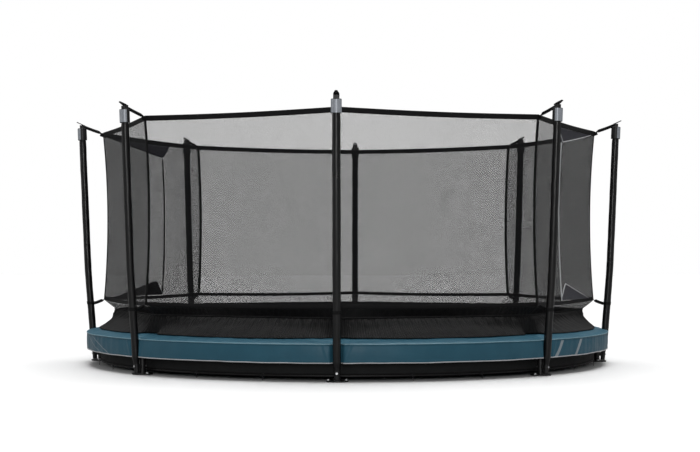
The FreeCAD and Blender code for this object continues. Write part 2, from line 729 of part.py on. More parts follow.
def pad_side():
    """One bay of the flap that hangs from the cushion's outer edge."""
    top = PAD_OVER_RING_Z - SEAM_GAP
    inner = PAD_R - PAD_SIDE_T
    return pad_notched([(inner, PAD_LOW_Z), (PAD_R, PAD_LOW_Z), (PAD_R, top), (inner, top)])


def pad_piping():
    """The cord along the lower edge of one bay of the pad's side, ending beside the poles."""
    clear = math.degrees((FOAM_OD / 2 + PAD_NOTCH_GAP + PIPE_CORD_R) / PAD_R)
    start = -HALF_BAY + clear
    z = PAD_LOW_Z - PIPE_CORD_R - 0.3
    return ring_bar(PAD_R - PIPE_CORD_R, z, PIPE_CORD_R, start, BAY - 2 * clear)


def ground_wall():
    """One bay of the cloth that closes the space between ring and ground."""
    low = ROD_Z + ROD_R + 0.5
    points = [(WALL_R - WALL_T, low), (WALL_R, low), (WALL_R, WALL_TOP_Z), (WALL_R - WALL_T, WALL_TOP_Z)]
    gap = math.degrees(SEAM_GAP / WALL_R)
    return swept(points, -HALF_BAY + gap, BAY - 2 * gap)


def hem_rod():
    gap = math.degrees(SEAM_GAP / WALL_R)
    return ring_bar(WALL_R - ROD_R, ROD_Z, ROD_R, -HALF_BAY + gap, BAY - 2 * gap)


def ground_peg():
    """A ring-headed peg that holds the wall's hem, drawn down to ground level."""
    ring_z = ROD_Z
    ring = Part.makeTorus(PEG_RING_R, PEG_WIRE_R, Vector(PEG_R, 0, ring_z), Vector(1, 0, 0))
    shank = rod(PEG_WIRE_R, Vector(PEG_R, 0, 0.5), Vector(PEG_R, 0, ring_z - PEG_RING_R))
    return ring.fuse(shank).removeSplitter()


# ---- assembly ------------------------------------------------------------------------------------------------
def build():
    rail_shape = rail()
    leg_shape = leg()
    for n in range(1, LEGS + 1):
        add(f"rail_{n}", [turned(rail_shape, bay_angle(n))])
        add(f"leg_{n}", [turned(leg_shape, leg_angle(n))])
    add("foot_plates", at_legs(foot_plate()))
    add("foot_bolts", [bolt for shape in foot_bolts() for bolt in at_legs(shape)])

    add("lower_pole_tubes", at_legs(lower_tube()))
    add("upper_pole_tubes", at_legs(upper_tube()))
    add("foam_sleeves", at_legs(foam_sleeve()))
    add("pole_spacers", [piece for z in SPACER_Z for piece in at_legs(spacer(z))])
    add("pole_bolts", [piece for z in SPACER_Z for piece in at_legs(pole_bolt(z))])
    add("pole_nuts", [piece for z in SPACER_Z for piece in at_legs(pole_nut(z))])
    add("cap_sleeves", at_legs(cap_sleeve()))
    add("cap_reflectors", at_legs(cap_reflector()))
    add("net_hooks", at_legs(net_hook()))
    add("top_straps", at_legs(top_strap()))
    add("lower_ties", at_legs(lower_tie()))

    add("net_top_band", at_bays(top_band()))
    add("net_lower_band", at_bays(low_band()))
    add("net_lower_mesh", at_bays(low_mesh()))
    add("net_hem", at_bays(hem()))
    add("net_skirt", at_bays(skirt()))
    add("net_inner_skirt", at_bays(inner_skirt()))
    add("corner_webbing", at_legs(corner_webbing()))
    plain = [n for n in range(1, LEGS + 1) if n not in DOOR_BAYS.values()]
    add("net_panels", [turned(plain_panel(), bay_angle(n)) for n in plain])
    surround = door_surround()
    doors = DOOR_BAYS.values()
    add("door_surrounds", [turned(piece, bay_angle(n)) for n in doors for piece in surround])
    add("door_gussets", [turned(gusset(), bay_angle(n)) for n in doors])
    add("gusset_piping", [turned(gusset_piping(), bay_angle(n)) for n in doors])
    for letter, n in DOOR_BAYS.items():
        add(f"door_net_{letter}", [turned(door_flap(), bay_angle(n))])
        add(f"door_piping_{letter}", [turned(door_piping(), bay_angle(n))])
        add(f"door_patch_{letter}", [turned(door_patch(), bay_angle(n))])

    add("mat", [Part.makeCylinder(MAT_R, MAT_T, Vector(0, 0, RING_Z - MAT_T / 2))])
    web_low = RING_Z - WEB_T / 2
    web = Part.makeCylinder(WEB_R, WEB_T, Vector(0, 0, web_low))
    add("mat_webbing", [web.cut(Part.makeCylinder(MAT_R, WEB_T, Vector(0, 0, web_low)))])
    add("v_rings", all_springs(v_ring()))
    add("springs", all_springs(spring()))

    add("pad_panels", at_bays(pad_panel()))
    add("pad_sides", at_bays(pad_side()))
    add("pad_piping", at_bays(pad_piping()))
    add("ground_wall", at_bays(ground_wall()))
    add("hem_rods", at_bays(hem_rod()))
    peg_steps = int(BAY / PEG_STEP)
    peg_angles = [-HALF_BAY + PEG_STEP * i for i in range(1, peg_steps)]
    pegs = [turned(ground_peg(), bay_angle(n) + a) for n in range(1, LEGS + 1) for a in peg_angles]
    add("ground_pegs", pegs)


build()
os.makedirs("parts", exist_ok=True)
for name, shape in NODES.items():
    sound = shape.isValid() and all(solid.Volume > 0 for solid in shape.Solids)
    print(f"{name}: {len(shape.Solids)} solids{'' if sound else ' NOT SOUND'}")
    shape.exportStep(f"parts/{name}.step")
hinge_points = {
    letter: turned(Part.Vertex(HINGE_X, DOOR_HINGE_Y, 0), bay_angle(n)).Point
    for letter, n in DOOR_BAYS.items()
}
for letter, point in hinge_points.items():
    print(f"door {letter} hinge line at x {point.x:.2f} y {point.y:.2f}")
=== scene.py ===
import math

import bpy
import numpy as np
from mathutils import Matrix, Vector


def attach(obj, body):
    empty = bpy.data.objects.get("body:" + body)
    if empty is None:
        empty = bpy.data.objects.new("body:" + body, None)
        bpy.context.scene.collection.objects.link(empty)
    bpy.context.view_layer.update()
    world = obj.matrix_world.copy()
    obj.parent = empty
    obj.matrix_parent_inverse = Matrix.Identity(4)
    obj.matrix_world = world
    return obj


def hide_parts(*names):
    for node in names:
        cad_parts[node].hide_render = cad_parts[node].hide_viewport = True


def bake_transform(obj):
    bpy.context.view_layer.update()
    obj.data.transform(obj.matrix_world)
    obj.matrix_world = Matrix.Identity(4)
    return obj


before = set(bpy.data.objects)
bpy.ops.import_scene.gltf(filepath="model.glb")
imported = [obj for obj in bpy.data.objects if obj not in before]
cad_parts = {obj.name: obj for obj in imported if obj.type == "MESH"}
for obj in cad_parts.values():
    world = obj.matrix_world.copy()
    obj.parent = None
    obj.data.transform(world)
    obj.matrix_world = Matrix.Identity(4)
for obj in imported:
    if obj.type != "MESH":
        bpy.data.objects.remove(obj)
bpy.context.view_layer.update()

# ---- reading the CAD frame -----------------------------------------------------------------------
LEGS = 8
BAY = math.tau / LEGS


def leg_angle(n):
    return -math.pi / 2 + BAY * (n - 1)


def bay_angle(n):
    return leg_angle(n) + BAY / 2


def cad_points(node):
    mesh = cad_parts[node].data
    co = np.empty(len(mesh.vertices) * 3)
    mesh.vertices.foreach_get("co", co)
    return co.reshape(-1, 3)


def reach(node):
    """Smallest and largest distance from the mat's axis, lowest and highest point of a node."""
    p = cad_points(node)
    r = np.hypot(p[:, 0], p[:, 1])
    return r.min(), r.max(), p[:, 2].min(), p[:, 2].max()


def corner_rows(node):
    """Heights of a net node's rows of corners, from the bottom up, and how far out each row reaches."""
    p = cad_points(node)
    r = np.hypot(p[:, 0], p[:, 1])
    rows = {}
    for z, radius in zip(np.round(p[:, 2], 3), r):
        rows[z] = max(rows.get(z, 0), radius)
    heights = sorted(rows)
    return heights, [rows[z] for z in heights]


def section(node, z, angle):
    """Nearest, farthest and sideways reach of a node in the plane at height z, beside one direction."""
    p = cad_points(node)
    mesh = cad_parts[node].data
    pairs = np.empty(len(mesh.edges) * 2, int)
    mesh.edges.foreach_get("vertices", pairs)
    a, b = p[pairs[0::2]], p[pairs[1::2]]
    over = (a[:, 2] - z) * (b[:, 2] - z) < 0
    a, b = a[over], b[over]
    q = a + (b - a) * ((z - a[:, 2]) / (b[:, 2] - a[:, 2]))[:, None]
    out = q[:, 0] * math.cos(angle) + q[:, 1] * math.sin(angle)
    side = q[:, 1] * math.cos(angle) - q[:, 0] * math.sin(angle)
    near = (np.abs(side) < 0.12) & (out > 0)
    return out[near].min(), out[near].max(), np.abs(side[near]).max()


def smooth(x):
    x = np.clip(x, 0, 1)
    return x * x * (3 - 2 * x)


def ripple(p, size, seed, layers=3):
    """Smooth irregular waves through space, roughly from -1 to 1; size is the longest wave."""
    rng = np.random.default_rng(seed)
    total = np.zeros(p.shape[:-1])
    weight = 0
    for k in range(layers):
        for _ in range(4):
            d = rng.normal(size=3)
            d *= math.tau * 2**k * rng.uniform(0.8, 1.5) / (size * np.linalg.norm(d))
            total += np.sin(p @ d + rng.uniform(0, math.tau)) / 1.7**k
        weight += 2.2 / 1.7**k
    return total / weight


def on_ring(r, angle, z):
    """Points from distances, directions and heights, which may be arrays."""
    r, angle, z = np.broadcast_arrays(r, angle, z)
    return np.stack([r * np.cos(angle), r * np.sin(angle), z], -1)


# ---- building meshes -----------------------------------------------------------------------------
def grid(points, uv, wrap_u=False, wrap_v=False, flip=False):
    """Vertices, four-sided faces and their corner UVs of a net of points.

    The UVs carry one more row where the net wraps.
    """
    nu, nv = points.shape[:2]
    steps_u = nu if wrap_u else nu - 1
    steps_v = nv if wrap_v else nv - 1
    i, j = np.meshgrid(np.arange(steps_u), np.arange(steps_v), indexing="ij")
    i, j = i.ravel(), j.ravel()
    ring = [(i, j), (i + 1, j), (i + 1, j + 1), (i, j + 1)]
    if flip:
        ring.reverse()
    faces = np.stack([(a % nu) * nv + b % nv for a, b in ring], -1)
    corner_uv = np.stack([uv[a, b] for a, b in ring], 1)
    return points.reshape(-1, 3), faces, corner_uv


def joined(parts):
    points, faces, uvs, base = [], [], [], 0
    for p, f, u in parts:
        points.append(p)
        faces.append(f + base)
        uvs.append(u)
        base += len(p)
    return np.concatenate(points), np.concatenate(faces), np.concatenate(uvs)


def piece(name, part, body, slot, nodes, material=None):
    """A smooth mesh object that rides a body, wears its slot's material and stands for CAD nodes."""
    points, faces, uv = part
    mesh = bpy.data.meshes.new(name)
    mesh.vertices.add(len(points))
    mesh.vertices.foreach_set("co", points.astype(np.float32).ravel())
    mesh.loops.add(faces.size)
    mesh.loops.foreach_set("vertex_index", faces.astype(np.int32).ravel())
    mesh.polygons.add(len(faces))
    mesh.polygons.foreach_set("loop_start", np.arange(0, faces.size, faces.shape[1], dtype=np.int32))
    mesh.polygons.foreach_set("use_smooth", np.ones(len(faces), bool))
    mesh.update(calc_edges=True)
    mesh.uv_layers.new(name="UVMap").data.foreach_set("uv", uv.astype(np.float32).ravel())
    mesh.validate()
    obj = bpy.data.objects.new(name, mesh)
    bpy.context.scene.collection.objects.link(obj)
    mesh.materials.append(material or MATERIALS[slot])
    if nodes:
        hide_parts(*nodes)
    if body:
        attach(obj, body)
    return obj


def normals(points, wrap_u=False):
    if wrap_u:
        du = np.roll(points, -1, 0) - np.roll(points, 1, 0)
    else:
        du = np.gradient(points, axis=0)
    dv = np.gradient(points, axis=1)
    n = np.cross(du, dv)
    return n / np.maximum(np.linalg.norm(n, axis=-1, keepdims=True), 1e-12)


def cloth(points, uv, thick, wrap=False):
    """A closed thin sheet: the points are its outer face, with u along it and v from top to bottom."""
    back = points + normals(points, wrap) * thick
    parts = [grid(points, uv, wrap, flip=True), grid(back, uv, wrap)]
    for v in (0, points.shape[1] - 1):
        rim = np.stack([points[:, v], back[:, v]], 1)
        parts.append(grid(rim, np.stack([uv[:, v]] * 2, 1), wrap, flip=v > 0))
    if not wrap:
        for u in (0, points.shape[0] - 1):
            rim = np.stack([points[u], back[u]], 1)
            parts.append(grid(rim, np.stack([uv[u]] * 2, 1), flip=u == 0))
    return welded(joined(parts))


def welded(part):
    """The same mesh with its coincident points made one."""
    points, faces, uv = part
    _, first, same = np.unique(np.round(points, 7), axis=0, return_index=True, return_inverse=True)
    return points[first], same.reshape(-1)[faces], uv


def tube(path, radius, sides=8, closed=False, flat=1.0, up=None):
    """A round or flattened bar along a path; radius may be one number or one per point."""
    path = np.asarray(path, float)
    if closed:
        along = np.roll(path, -1, 0) - np.roll(path, 1, 0)
    else:
        along = np.gradient(path, axis=0)
    along /= np.linalg.norm(along, axis=1, keepdims=True)
    side = np.empty_like(path)
    last = np.array([0.0, 0.0, 1.0]) if up is None else np.asarray(up, float)
    if abs(along[0] @ last) > 0.95:
        last = np.array([1.0, 0.0, 0.0])
    for k, t in enumerate(along):
        last = last - t * (last @ t)
        last /= np.linalg.norm(last)
        side[k] = last
    other = np.cross(along, side)
    radius = np.broadcast_to(np.asarray(radius, float), len(path))[:, None, None]
    turn = np.arange(sides) * math.tau / sides
    rim = side[:, None] * np.cos(turn)[:, None] + other[:, None] * np.sin(turn)[:, None] * flat
    points = path[:, None] + rim * radius
    step = np.linalg.norm(np.diff(path, axis=0), axis=1)
    length = np.concatenate([[0], np.cumsum(step)])
    if closed:
        length = np.append(length, length[-1] + np.linalg.norm(path[0] - path[-1]))
    round_it = np.arange(sides + 1) / sides * math.tau * float(radius.mean())
    uv = np.stack(np.meshgrid(length, round_it, indexing="ij"), -1)
    parts = [grid(points, uv, closed, True)]
    if not closed:
        for end, flip in ((0, True), (len(path) - 1, False)):
            cap = np.stack([points[end], np.repeat(path[end][None], sides, 0)], 0)
            parts.append(grid(cap, np.zeros((2, sides + 1, 2)), False, True, flip=not flip))
    points, faces, uv = joined(parts)
    return points, faces, uv


# ---- materials -----------------------------------------------------------------------------------
def shader(name, colour, rough, metal=0.0, **extra):
    mat = bpy.data.materials.new(name)
    mat.use_nodes = True
    bsdf = mat.node_tree.nodes["Principled BSDF"]
    bsdf.inputs["Base Color"].default_value = (*colour, 1)
    bsdf.inputs["Roughness"].default_value = rough
    bsdf.inputs["Metallic"].default_value = metal
    for socket, value in extra.items():
        bsdf.inputs[socket.replace("_", " ")].default_value = value
    return mat


def add(mat, kind, links=(), **values):
    """A node with its settings and input values; links are (input, socket) pairs."""
    made = mat.node_tree.nodes.new("ShaderNode" + kind)
    for key, value in values.items():
        if hasattr(made, key):
            setattr(made, key, value)
        else:
            made.inputs[key.replace("_", " ")].default_value = value
    for target, socket in links:
        mat.node_tree.links.new(made.inputs[target], socket)
    return made


def maths(mat, operation, first, second=None):
    made = mat.node_tree.nodes.new("ShaderNodeMath")
    made.operation = operation
    for k, value in enumerate((first, second)):
        if value is None:
            continue
        if isinstance(value, (int, float)):
            made.inputs[k].default_value = value
        else:
            mat.node_tree.links.new(made.inputs[k], value)
    return made.outputs[0]


def place(mat, kind="Object"):
    return add(mat, "TexCoord").outputs[kind]


def clouds(mat, scale, kind="Object", detail=3.0, stretch=(1, 1, 1)):
    shifted = add(mat, "Mapping", [("Vector", place(mat, kind))], Scale=stretch)
    return add(mat, "TexNoise", [("Vector", shifted.outputs[0])], Scale=scale, Detail=detail).outputs[0]


def stripes(mat, pitch, axis, kind="UV"):
    """Evenly spaced waves across one axis, a wave every pitch metres."""
    made = add(mat, "TexWave", [("Vector", place(mat, kind))], Scale=math.tau / 20 / pitch)
    made.wave_type = "BANDS"
    made.bands_direction = axis
    return made.outputs["Fac"]


def bump(mat, height, depth, strength=1.0):
    made = add(mat, "Bump", [("Height", height)], Distance=depth, Strength=strength)
    bsdf = mat.node_tree.nodes["Principled BSDF"]
    if bsdf.inputs["Normal"].is_linked:
        before = bsdf.inputs["Normal"].links[0].from_socket
        mat.node_tree.links.new(made.inputs["Normal"], before)
    mat.node_tree.links.new(bsdf.inputs["Normal"], made.outputs[0])


def tint(mat, factor, low, high, socket="Base Color"):
    """Runs a colour or a grey from low to high by the factor."""
    bsdf = mat.node_tree.nodes["Principled BSDF"]
    if socket == "Roughness":
        made = add(mat, "MapRange", [("Value", factor)])
        made.inputs["To Min"].default_value = low
        made.inputs["To Max"].default_value = high
    else:
        made = add(mat, "Mix", [("Factor", factor)], data_type="RGBA")
        made.inputs["A"].default_value = (*low, 1)
        made.inputs["B"].default_value = (*high, 1)
    out = made.outputs["Result"] if socket == "Roughness" else made.outputs[2]
    mat.node_tree.links.new(bsdf.inputs[socket], out)


def woven(name, colour, rough, pitch, depth, gloss=0.3):
    """Plain-woven cloth: threads both ways in the piece's own metres, and a little unevenness."""
    mat = shader(name, colour, rough, Specular_IOR_Level=gloss)
    weave = maths(mat, "MULTIPLY", stripes(mat, pitch, "X"), stripes(mat, pitch, "Y"))
    bump(mat, weave, depth)
    cloud = clouds(mat, 14)
    tint(mat, cloud, tuple(c * 0.75 for c in colour), tuple(c * 1.35 for c in colour))
    tint(mat, cloud, rough - 0.08, rough + 0.08, "Roughness")
    return mat


def black_steel():
    mat = shader("black powder coat", (0.012, 0.012, 0.013), 0.34, Coat_Weight=0.15, Coat_Roughness=0.2)
    tint(mat, clouds(mat, 9), 0.28, 0.45, "Roughness")
    bump(mat, clouds(mat, 900, detail=1), 0.00015, 0.5)
    return mat


def zinc(name, colour, rough):
    mat = shader(name, colour, rough, 1.0)
    tint(mat, clouds(mat, 120), rough - 0.1, rough + 0.12, "Roughness")
    bump(mat, clouds(mat, 500, detail=2), 0.0001, 0.4)
    return mat


def moulded(name, colour, rough):
    mat = shader(name, colour, rough)
    tint(mat, clouds(mat, 40), rough - 0.06, rough + 0.08, "Roughness")
    bump(mat, clouds(mat, 1200, detail=1), 0.0001, 0.5)
    return mat


def reflector():
    """Silver-grey film, finely ribbed down its length."""
    mat = shader("silver film", (0.42, 0.45, 0.49), 0.34, 0.15)
    tint(mat, clouds(mat, 60), (0.32, 0.35, 0.39), (0.52, 0.55, 0.60))
    bump(mat, clouds(mat, 700, stretch=(1, 1, 0.05)), 0.0002, 0.5)
    return mat


def sleeve_fabric():
    mat = shader("satin sleeve", (0.005, 0.005, 0.0055), 0.3, Specular_IOR_Level=0.45)
    weave = maths(mat, "MULTIPLY", stripes(mat, 0.0014, "X"), stripes(mat, 0.0014, "Y"))
    bump(mat, weave, 0.0001, 0.6)
    bump(mat, clouds(mat, 26, stretch=(1, 1, 0.25)), 0.004, 0.5)
    tint(mat, clouds(mat, 18), 0.24, 0.36, "Roughness")
    return mat


def webbing(name="black webbing", colour=(0.006, 0.006, 0.0065)):
    """Heavy ribbed tape."""
    mat = shader(name, colour, 0.62, Specular_IOR_Level=0.2)
    bump(mat, maths(mat, "MULTIPLY", stripes(mat, 0.0022, "X"), stripes(mat, 0.0035, "Y")), 0.0005)
    cloud = clouds(mat, 22)
    tint(mat, cloud, tuple(c * 0.7 for c in colour), tuple(c * 1.5 for c in colour))
    return mat


def net_mesh(pitch=0.003, thread=0.252):
    """Fine black netting: two families of slanting threads with open diamonds between them."""
    mat = shader("fine netting", (0.012, 0.012, 0.013), 0.6, Specular_IOR_Level=0.15)
    apart = add(mat, "SeparateXYZ", [("Vector", place(mat, "UV"))])
    across, down = apart.outputs[0], apart.outputs[1]
    families = []
    for operation in ("ADD", "SUBTRACT"):
        slant = maths(mat, operation, across, maths(mat, "MULTIPLY", down, 0.8))
        phase = maths(mat, "FRACT", maths(mat, "DIVIDE", slant, pitch * math.hypot(1, 0.8)))
        families.append(maths(mat, "LESS_THAN", phase, thread))
    mask = maths(mat, "MAXIMUM", *families)
    mat.node_tree.links.new(mat.node_tree.nodes["Principled BSDF"].inputs["Alpha"], mask)
    tint(mat, clouds(mat, 3), (0.009, 0.009, 0.010), (0.016, 0.016, 0.017))
    return mat


def skirt_cloth():
    """Close black ribbed mesh cloth."""
    mat = shader("ribbed skirt cloth", (0.010, 0.010, 0.0105), 0.65, Specular_IOR_Level=0.2)
    rib = stripes(mat, 0.016, "X")
    bump(mat, rib, 0.0035)
    bump(mat, maths(mat, "MULTIPLY", stripes(mat, 0.003, "X"), stripes(mat, 0.003, "Y")), 0.0005)
    mix = maths(mat, "MULTIPLY", rib, clouds(mat, 5))
    tint(mat, mix, (0.006, 0.006, 0.0065), (0.024, 0.0235, 0.0235))
    return mat


def pad_vinyl(stripe_marks=False):
    """Teal coated cloth, finely woven and gently creased, with plain slanted marks where asked."""
    mat = shader("teal coated cloth", (0.033, 0.127, 0.187), 0.42, Specular_IOR_Level=0.3)
    cloud = clouds(mat, 7)
    tint(mat, cloud, (0.027, 0.108, 0.162), (0.039, 0.147, 0.213))
    tint(mat, clouds(mat, 22), 0.28, 0.5, "Roughness")
    bump(mat, clouds(mat, 9, detail=4), 0.0045, 0.6)
    bump(mat, clouds(mat, 34, stretch=(1, 1, 0.7)), 0.0018, 0.5)
    bump(mat, maths(mat, "MULTIPLY", stripes(mat, 0.0016, "X"), stripes(mat, 0.0016, "Y")), 0.0001, 0.6)
    if stripe_marks:
        apart = add(mat, "SeparateXYZ", [("Vector", place(mat, "UV"))])
        along, height = apart.outputs[0], apart.outputs[1]
        marks = None
        for start, lean, wide in SIDE_MARKS:
            centre = maths(mat, "MULTIPLY", height, lean)
            off = maths(mat, "SUBTRACT", maths(mat, "SUBTRACT", along, start), centre)
            one = maths(mat, "LESS_THAN", maths(mat, "ABSOLUTE", off), wide / 2)
            marks = one if marks is None else maths(mat, "MAXIMUM", marks, one)
        bsdf = mat.node_tree.nodes["Principled BSDF"]
        cloth_colour = bsdf.inputs["Base Color"].links[0].from_socket
        both = add(mat, "Mix", [("Factor", marks), ("A", cloth_colour)], data_type="RGBA")
        mat.node_tree.links.new(both.inputs[6], cloth_colour)
        both.inputs[7].default_value = (0.36, 0.42, 0.46, 1)
        mat.node_tree.links.new(bsdf.inputs["Base Color"], both.outputs[2])
    return mat


PAD_IN, PAD_OUT, PAD_LOW, PAD_TOP = reach("pad_panels")
SIDE_LOW = reach("pad_sides")[2]
SEAM_Z = PAD_LOW + 0.022


def pad_dome(u):
    """Height of the cushion's top across it, u from its inner edge to its seam, as a share of its crown."""
    round_over = (1 - np.clip(np.abs(2 * u - 1), 0, 1) ** 3.4) ** (1 / 2.2)
    return round_over * (1 - 0.42 * smooth((u - 0.42) / 0.5))


def pad_surface(r):
    """Height of the cushion's top at a distance from the mat's axis."""
    u = (r - PAD_IN) / (PAD_OUT - PAD_IN)
    return SEAM_Z + (PAD_TOP - 0.0035 - SEAM_Z) * pad_dome(u)


BAY_LONG = PAD_OUT * BAY
# plain slanted marks on the pad's side: place along the ring in metres from leg 1, lean, width
SIDE_MARKS = [
    (BAY_LONG * 1.06, 0.70, 0.036),
    (BAY_LONG * 1.22, 0.70, 0.036),
    (BAY_LONG * 6.66, -3.4, 0.014),
    (BAY_LONG * 6.77, -3.4, 0.014),
]

MATERIALS = {
    "black_steel": black_steel(),
    "bolt_steel": zinc("bright zinc", (0.86, 0.87, 0.88), 0.42),
    "spring_steel": zinc("zinc-plated wire", (0.60, 0.62, 0.64), 0.28),
    "sleeve_fabric": sleeve_fabric(),
    "cap_plastic": moulded("moulded black", (0.012, 0.012, 0.013), 0.45),
    "reflector": reflector(),
    "spacer_plastic": moulded("saddle plastic", (0.016, 0.016, 0.017), 0.5),
    "strap_webbing": webbing(),
    "net_mesh": net_mesh(),
    "skirt_cloth": skirt_cloth(),
    "piping_white": woven("white piping cord", (0.74, 0.75, 0.77), 0.55, 0.0016, 0.0002),
    "pad_vinyl": pad_vinyl(),
    "pad_piping": woven("silver piping", (0.60, 0.61, 0.63), 0.45, 0.0016, 0.0002),
    "wall_cloth": woven("wall cloth", (0.020, 0.0205, 0.021), 0.65, 0.003, 0.0006, 0.2),
    "mat_mesh": woven("jumping mat weave", (0.013, 0.013, 0.015), 0.5, 0.0035, 0.0008),
}
PAD_SIDE_CLOTH = pad_vinyl(stripe_marks=True)
# the welt cloth is a lighter teal than the pad: a painted highlight along the seam, not wear
SEAM_HIGHLIGHT_WELT_CLOTH = woven("teal welt with painted highlight", (0.20, 0.36, 0.43), 0.4, 0.0016, 0.0002, 0.5)
PATCH_CLOTH = woven("satin patch", (0.026, 0.026, 0.040), 0.32, 0.0012, 0.0001, 0.5)

# CAD pieces of steel and moulded plastic that show as they are
KEPT = {
    "black_steel": ["foot_plates", "lower_pole_tubes", "upper_pole_tubes", "ground_pegs"]
    + [f"{kind}_{n}" for kind in ("rail", "leg") for n in range(1, LEGS + 1)],
    "bolt_steel": ["foot_bolts", "pole_bolts", "pole_nuts"],
    "cap_plastic": ["cap_sleeves", "net_hooks", "hem_rods"],
    "reflector": ["cap_reflectors"],
    "spacer_plastic": ["pole_spacers"],
}
for kept_slot, kept_nodes in KEPT.items():
    for node in kept_nodes:
        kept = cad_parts[node]
        kept.data.materials.clear()
        kept.data.materials.append(MATERIALS[kept_slot])


# ---- poles' foam sleeves -------------------------------------------------------------------------
foam_low, foam_top = reach("foam_sleeves")[2:]
pole_z = np.linspace(foam_low + 0.02, foam_top - 0.02, 14)
pole_cuts = [section("foam_sleeves", z, 0.0) for z in pole_z]
pole_r = np.array([(near + far) / 2 for near, far, _ in pole_cuts])
FOAM_R = float(np.median([half for _, _, half in pole_cuts]))


def pole_reach(z):
    """Distance of the poles' centre line from the mat's axis at a height."""
    low = pole_r[0] + (z - pole_z[0]) * (pole_r[1] - pole_r[0]) / (pole_z[1] - pole_z[0])
    high = pole_r[-1] + (z - pole_z[-1]) * (pole_r[-1] - pole_r[-2]) / (pole_z[-1] - pole_z[-2])
    return np.where(z < pole_z[0], low, np.where(z > pole_z[-1], high, np.interp(z, pole_z, pole_r)))


def foam_sleeve(n):
    """A padded sleeve: round, faintly creased, drawn in at the foot and under the cap."""
    rows, sides = 150, 28
    z = np.linspace(foam_low, foam_top, rows)
    drawn = 1 - 0.30 * (1 - smooth((z - foam_low) / 0.055)) - 0.08 * (1 - smooth((foam_top - z) / 0.03))
    turn = np.arange(sides) * math.tau / sides
    centre = on_ring(pole_reach(z), leg_angle(n), z)
    out = np.array([math.cos(leg_angle(n)), math.sin(leg_angle(n)), 0])
    side = np.array([-out[1], out[0], 0])
    rim = out * np.cos(turn)[:, None] + side * np.sin(turn)[:, None]
    points = centre[:, None] + rim * (FOAM_R * drawn)[:, None, None]
    crease = ripple(points * np.array([1, 1, 0.45]), 0.12, 10 + n)
    seam = np.exp(-((turn - math.pi) / 0.12) ** 2)
    push = 0.0011 * crease - 0.0018 * seam
    points += rim * push[..., None]
    uv = np.stack(np.meshgrid(z, np.arange(sides + 1) / sides * math.tau * FOAM_R, indexing="ij"), -1)
    parts = [grid(points, uv, False, True, flip=True)]
    for end, flip in ((0, False), (rows - 1, True)):
        inner = centre[end] + rim * (FOAM_R * 0.66 * drawn[end])
        cap = np.stack([points[end], inner], 0)
        parts.append(grid(cap, np.zeros((2, sides + 1, 2)), False, True, flip=flip))
    obj = piece(f"foam_sleeve_{n}", joined(parts), "frame", "sleeve_fabric", ["foam_sleeves"])


for number in range(1, LEGS + 1):
    foam_sleeve(number)


# ---- safety net ----------------------------------------------------------------------------------
net_heights, net_reaches = corner_rows("net_panels")
net_curve = np.polyfit(net_heights, net_reaches, min(2, len(net_heights) - 1))
band_top = reach("net_top_band")
band_low = reach("net_lower_band")
hem_box = reach("net_hem")
NET_SAG = 0.009
NET_FREE = 1.34
THREAD = 0.0005
COLUMNS = 48


def net_r(z):
    """Distance of the net's corners from the axis at a height."""
    return np.polyval(net_curve, z)


def across_bay(n, share, r):
    """A point on the straight line between a bay's two corners, share 0 to 1, for corners r away."""
    a, b = leg_angle(n), leg_angle(n) + BAY
    x = r * (math.cos(a) * (1 - share) + math.cos(b) * share)
    y = r * (math.sin(a) * (1 - share) + math.sin(b) * share)
    return np.stack([x, y], -1)


def bay_sheet(n, shares, tops, lows, rows, wave=0.004, seed=0, lift=0.0):
    """Points and UVs of a net sheet in a bay, between two lines of heights given at the shares."""
    shares, tops, lows = (np.asarray(x, float) for x in (shares, tops, lows))
    v = np.linspace(0, 1, rows)
    z = tops[:, None] * (1 - v) + lows[:, None] * v
    share = np.repeat(shares[:, None], rows, 1)
    xy = across_bay(n, share, net_r(z) + lift)
    points = np.concatenate([xy, z[..., None]], -1)
    up = np.clip((z - net_heights[0]) / NET_FREE, 0, 1)
    free = np.sin(np.clip(share, 0, 1) * math.pi) * np.sin(up * math.pi)
    out = np.array([math.cos(bay_angle(n)), math.sin(bay_angle(n)), 0])
    points += out * (wave * ripple(points * np.array([1, 1, 0.5]), 0.7, 40 + n + seed) * free)[..., None]
    side = 2 * net_r(1.2) * math.sin(BAY / 2)
    uv = np.stack([share * side, z], -1)
    return points, uv


def top_line(share):
    """Height of the top band's lower edge, which sags a little between the poles."""
    return band_top[2] - NET_SAG * np.sin(np.asarray(share) * math.pi)


def low_line(share):
    """Height of the lower band's upper edge."""
    return band_low[3] - NET_SAG * np.sin(np.asarray(share) * math.pi)


def net_part(name, n, first, last, nodes, body="frame", tops=None, lows=None, slot="net_mesh", **options):
    shares = np.linspace(first, last, max(4, int(COLUMNS * (last - first))))
    tops = top_line(shares) if tops is None else tops(shares)
    lows = low_line(shares) if lows is None else lows(shares)
    thick = options.pop("thick", THREAD)
    material = options.pop("material", None)
    points, uv = bay_sheet(n, shares, tops, lows, options.pop("rows", 44), **options)
    obj = piece(name, cloth(points, uv, thick), body, slot, nodes, material)
    return obj


def bay_share(node, n):
    """Where a node begins and ends across its bay, as shares of the bay."""
    p = cad_points(node)
    a, b = leg_angle(n), leg_angle(n) + BAY
    along = np.array([math.cos(b) - math.cos(a), math.sin(b) - math.sin(a)])
    along /= np.linalg.norm(along)
    own = np.abs(np.arctan2(np.sin(np.arctan2(p[:, 1], p[:, 0]) - bay_angle(n)),
                            np.cos(np.arctan2(p[:, 1], p[:, 0]) - bay_angle(n)))) < BAY / 2 + 0.01
    s = p[own][:, :2] @ along
    half = band_top[1] * math.sin(BAY / 2)
    return 0.5 + s.min() / half / 2, 0.5 + s.max() / half / 2


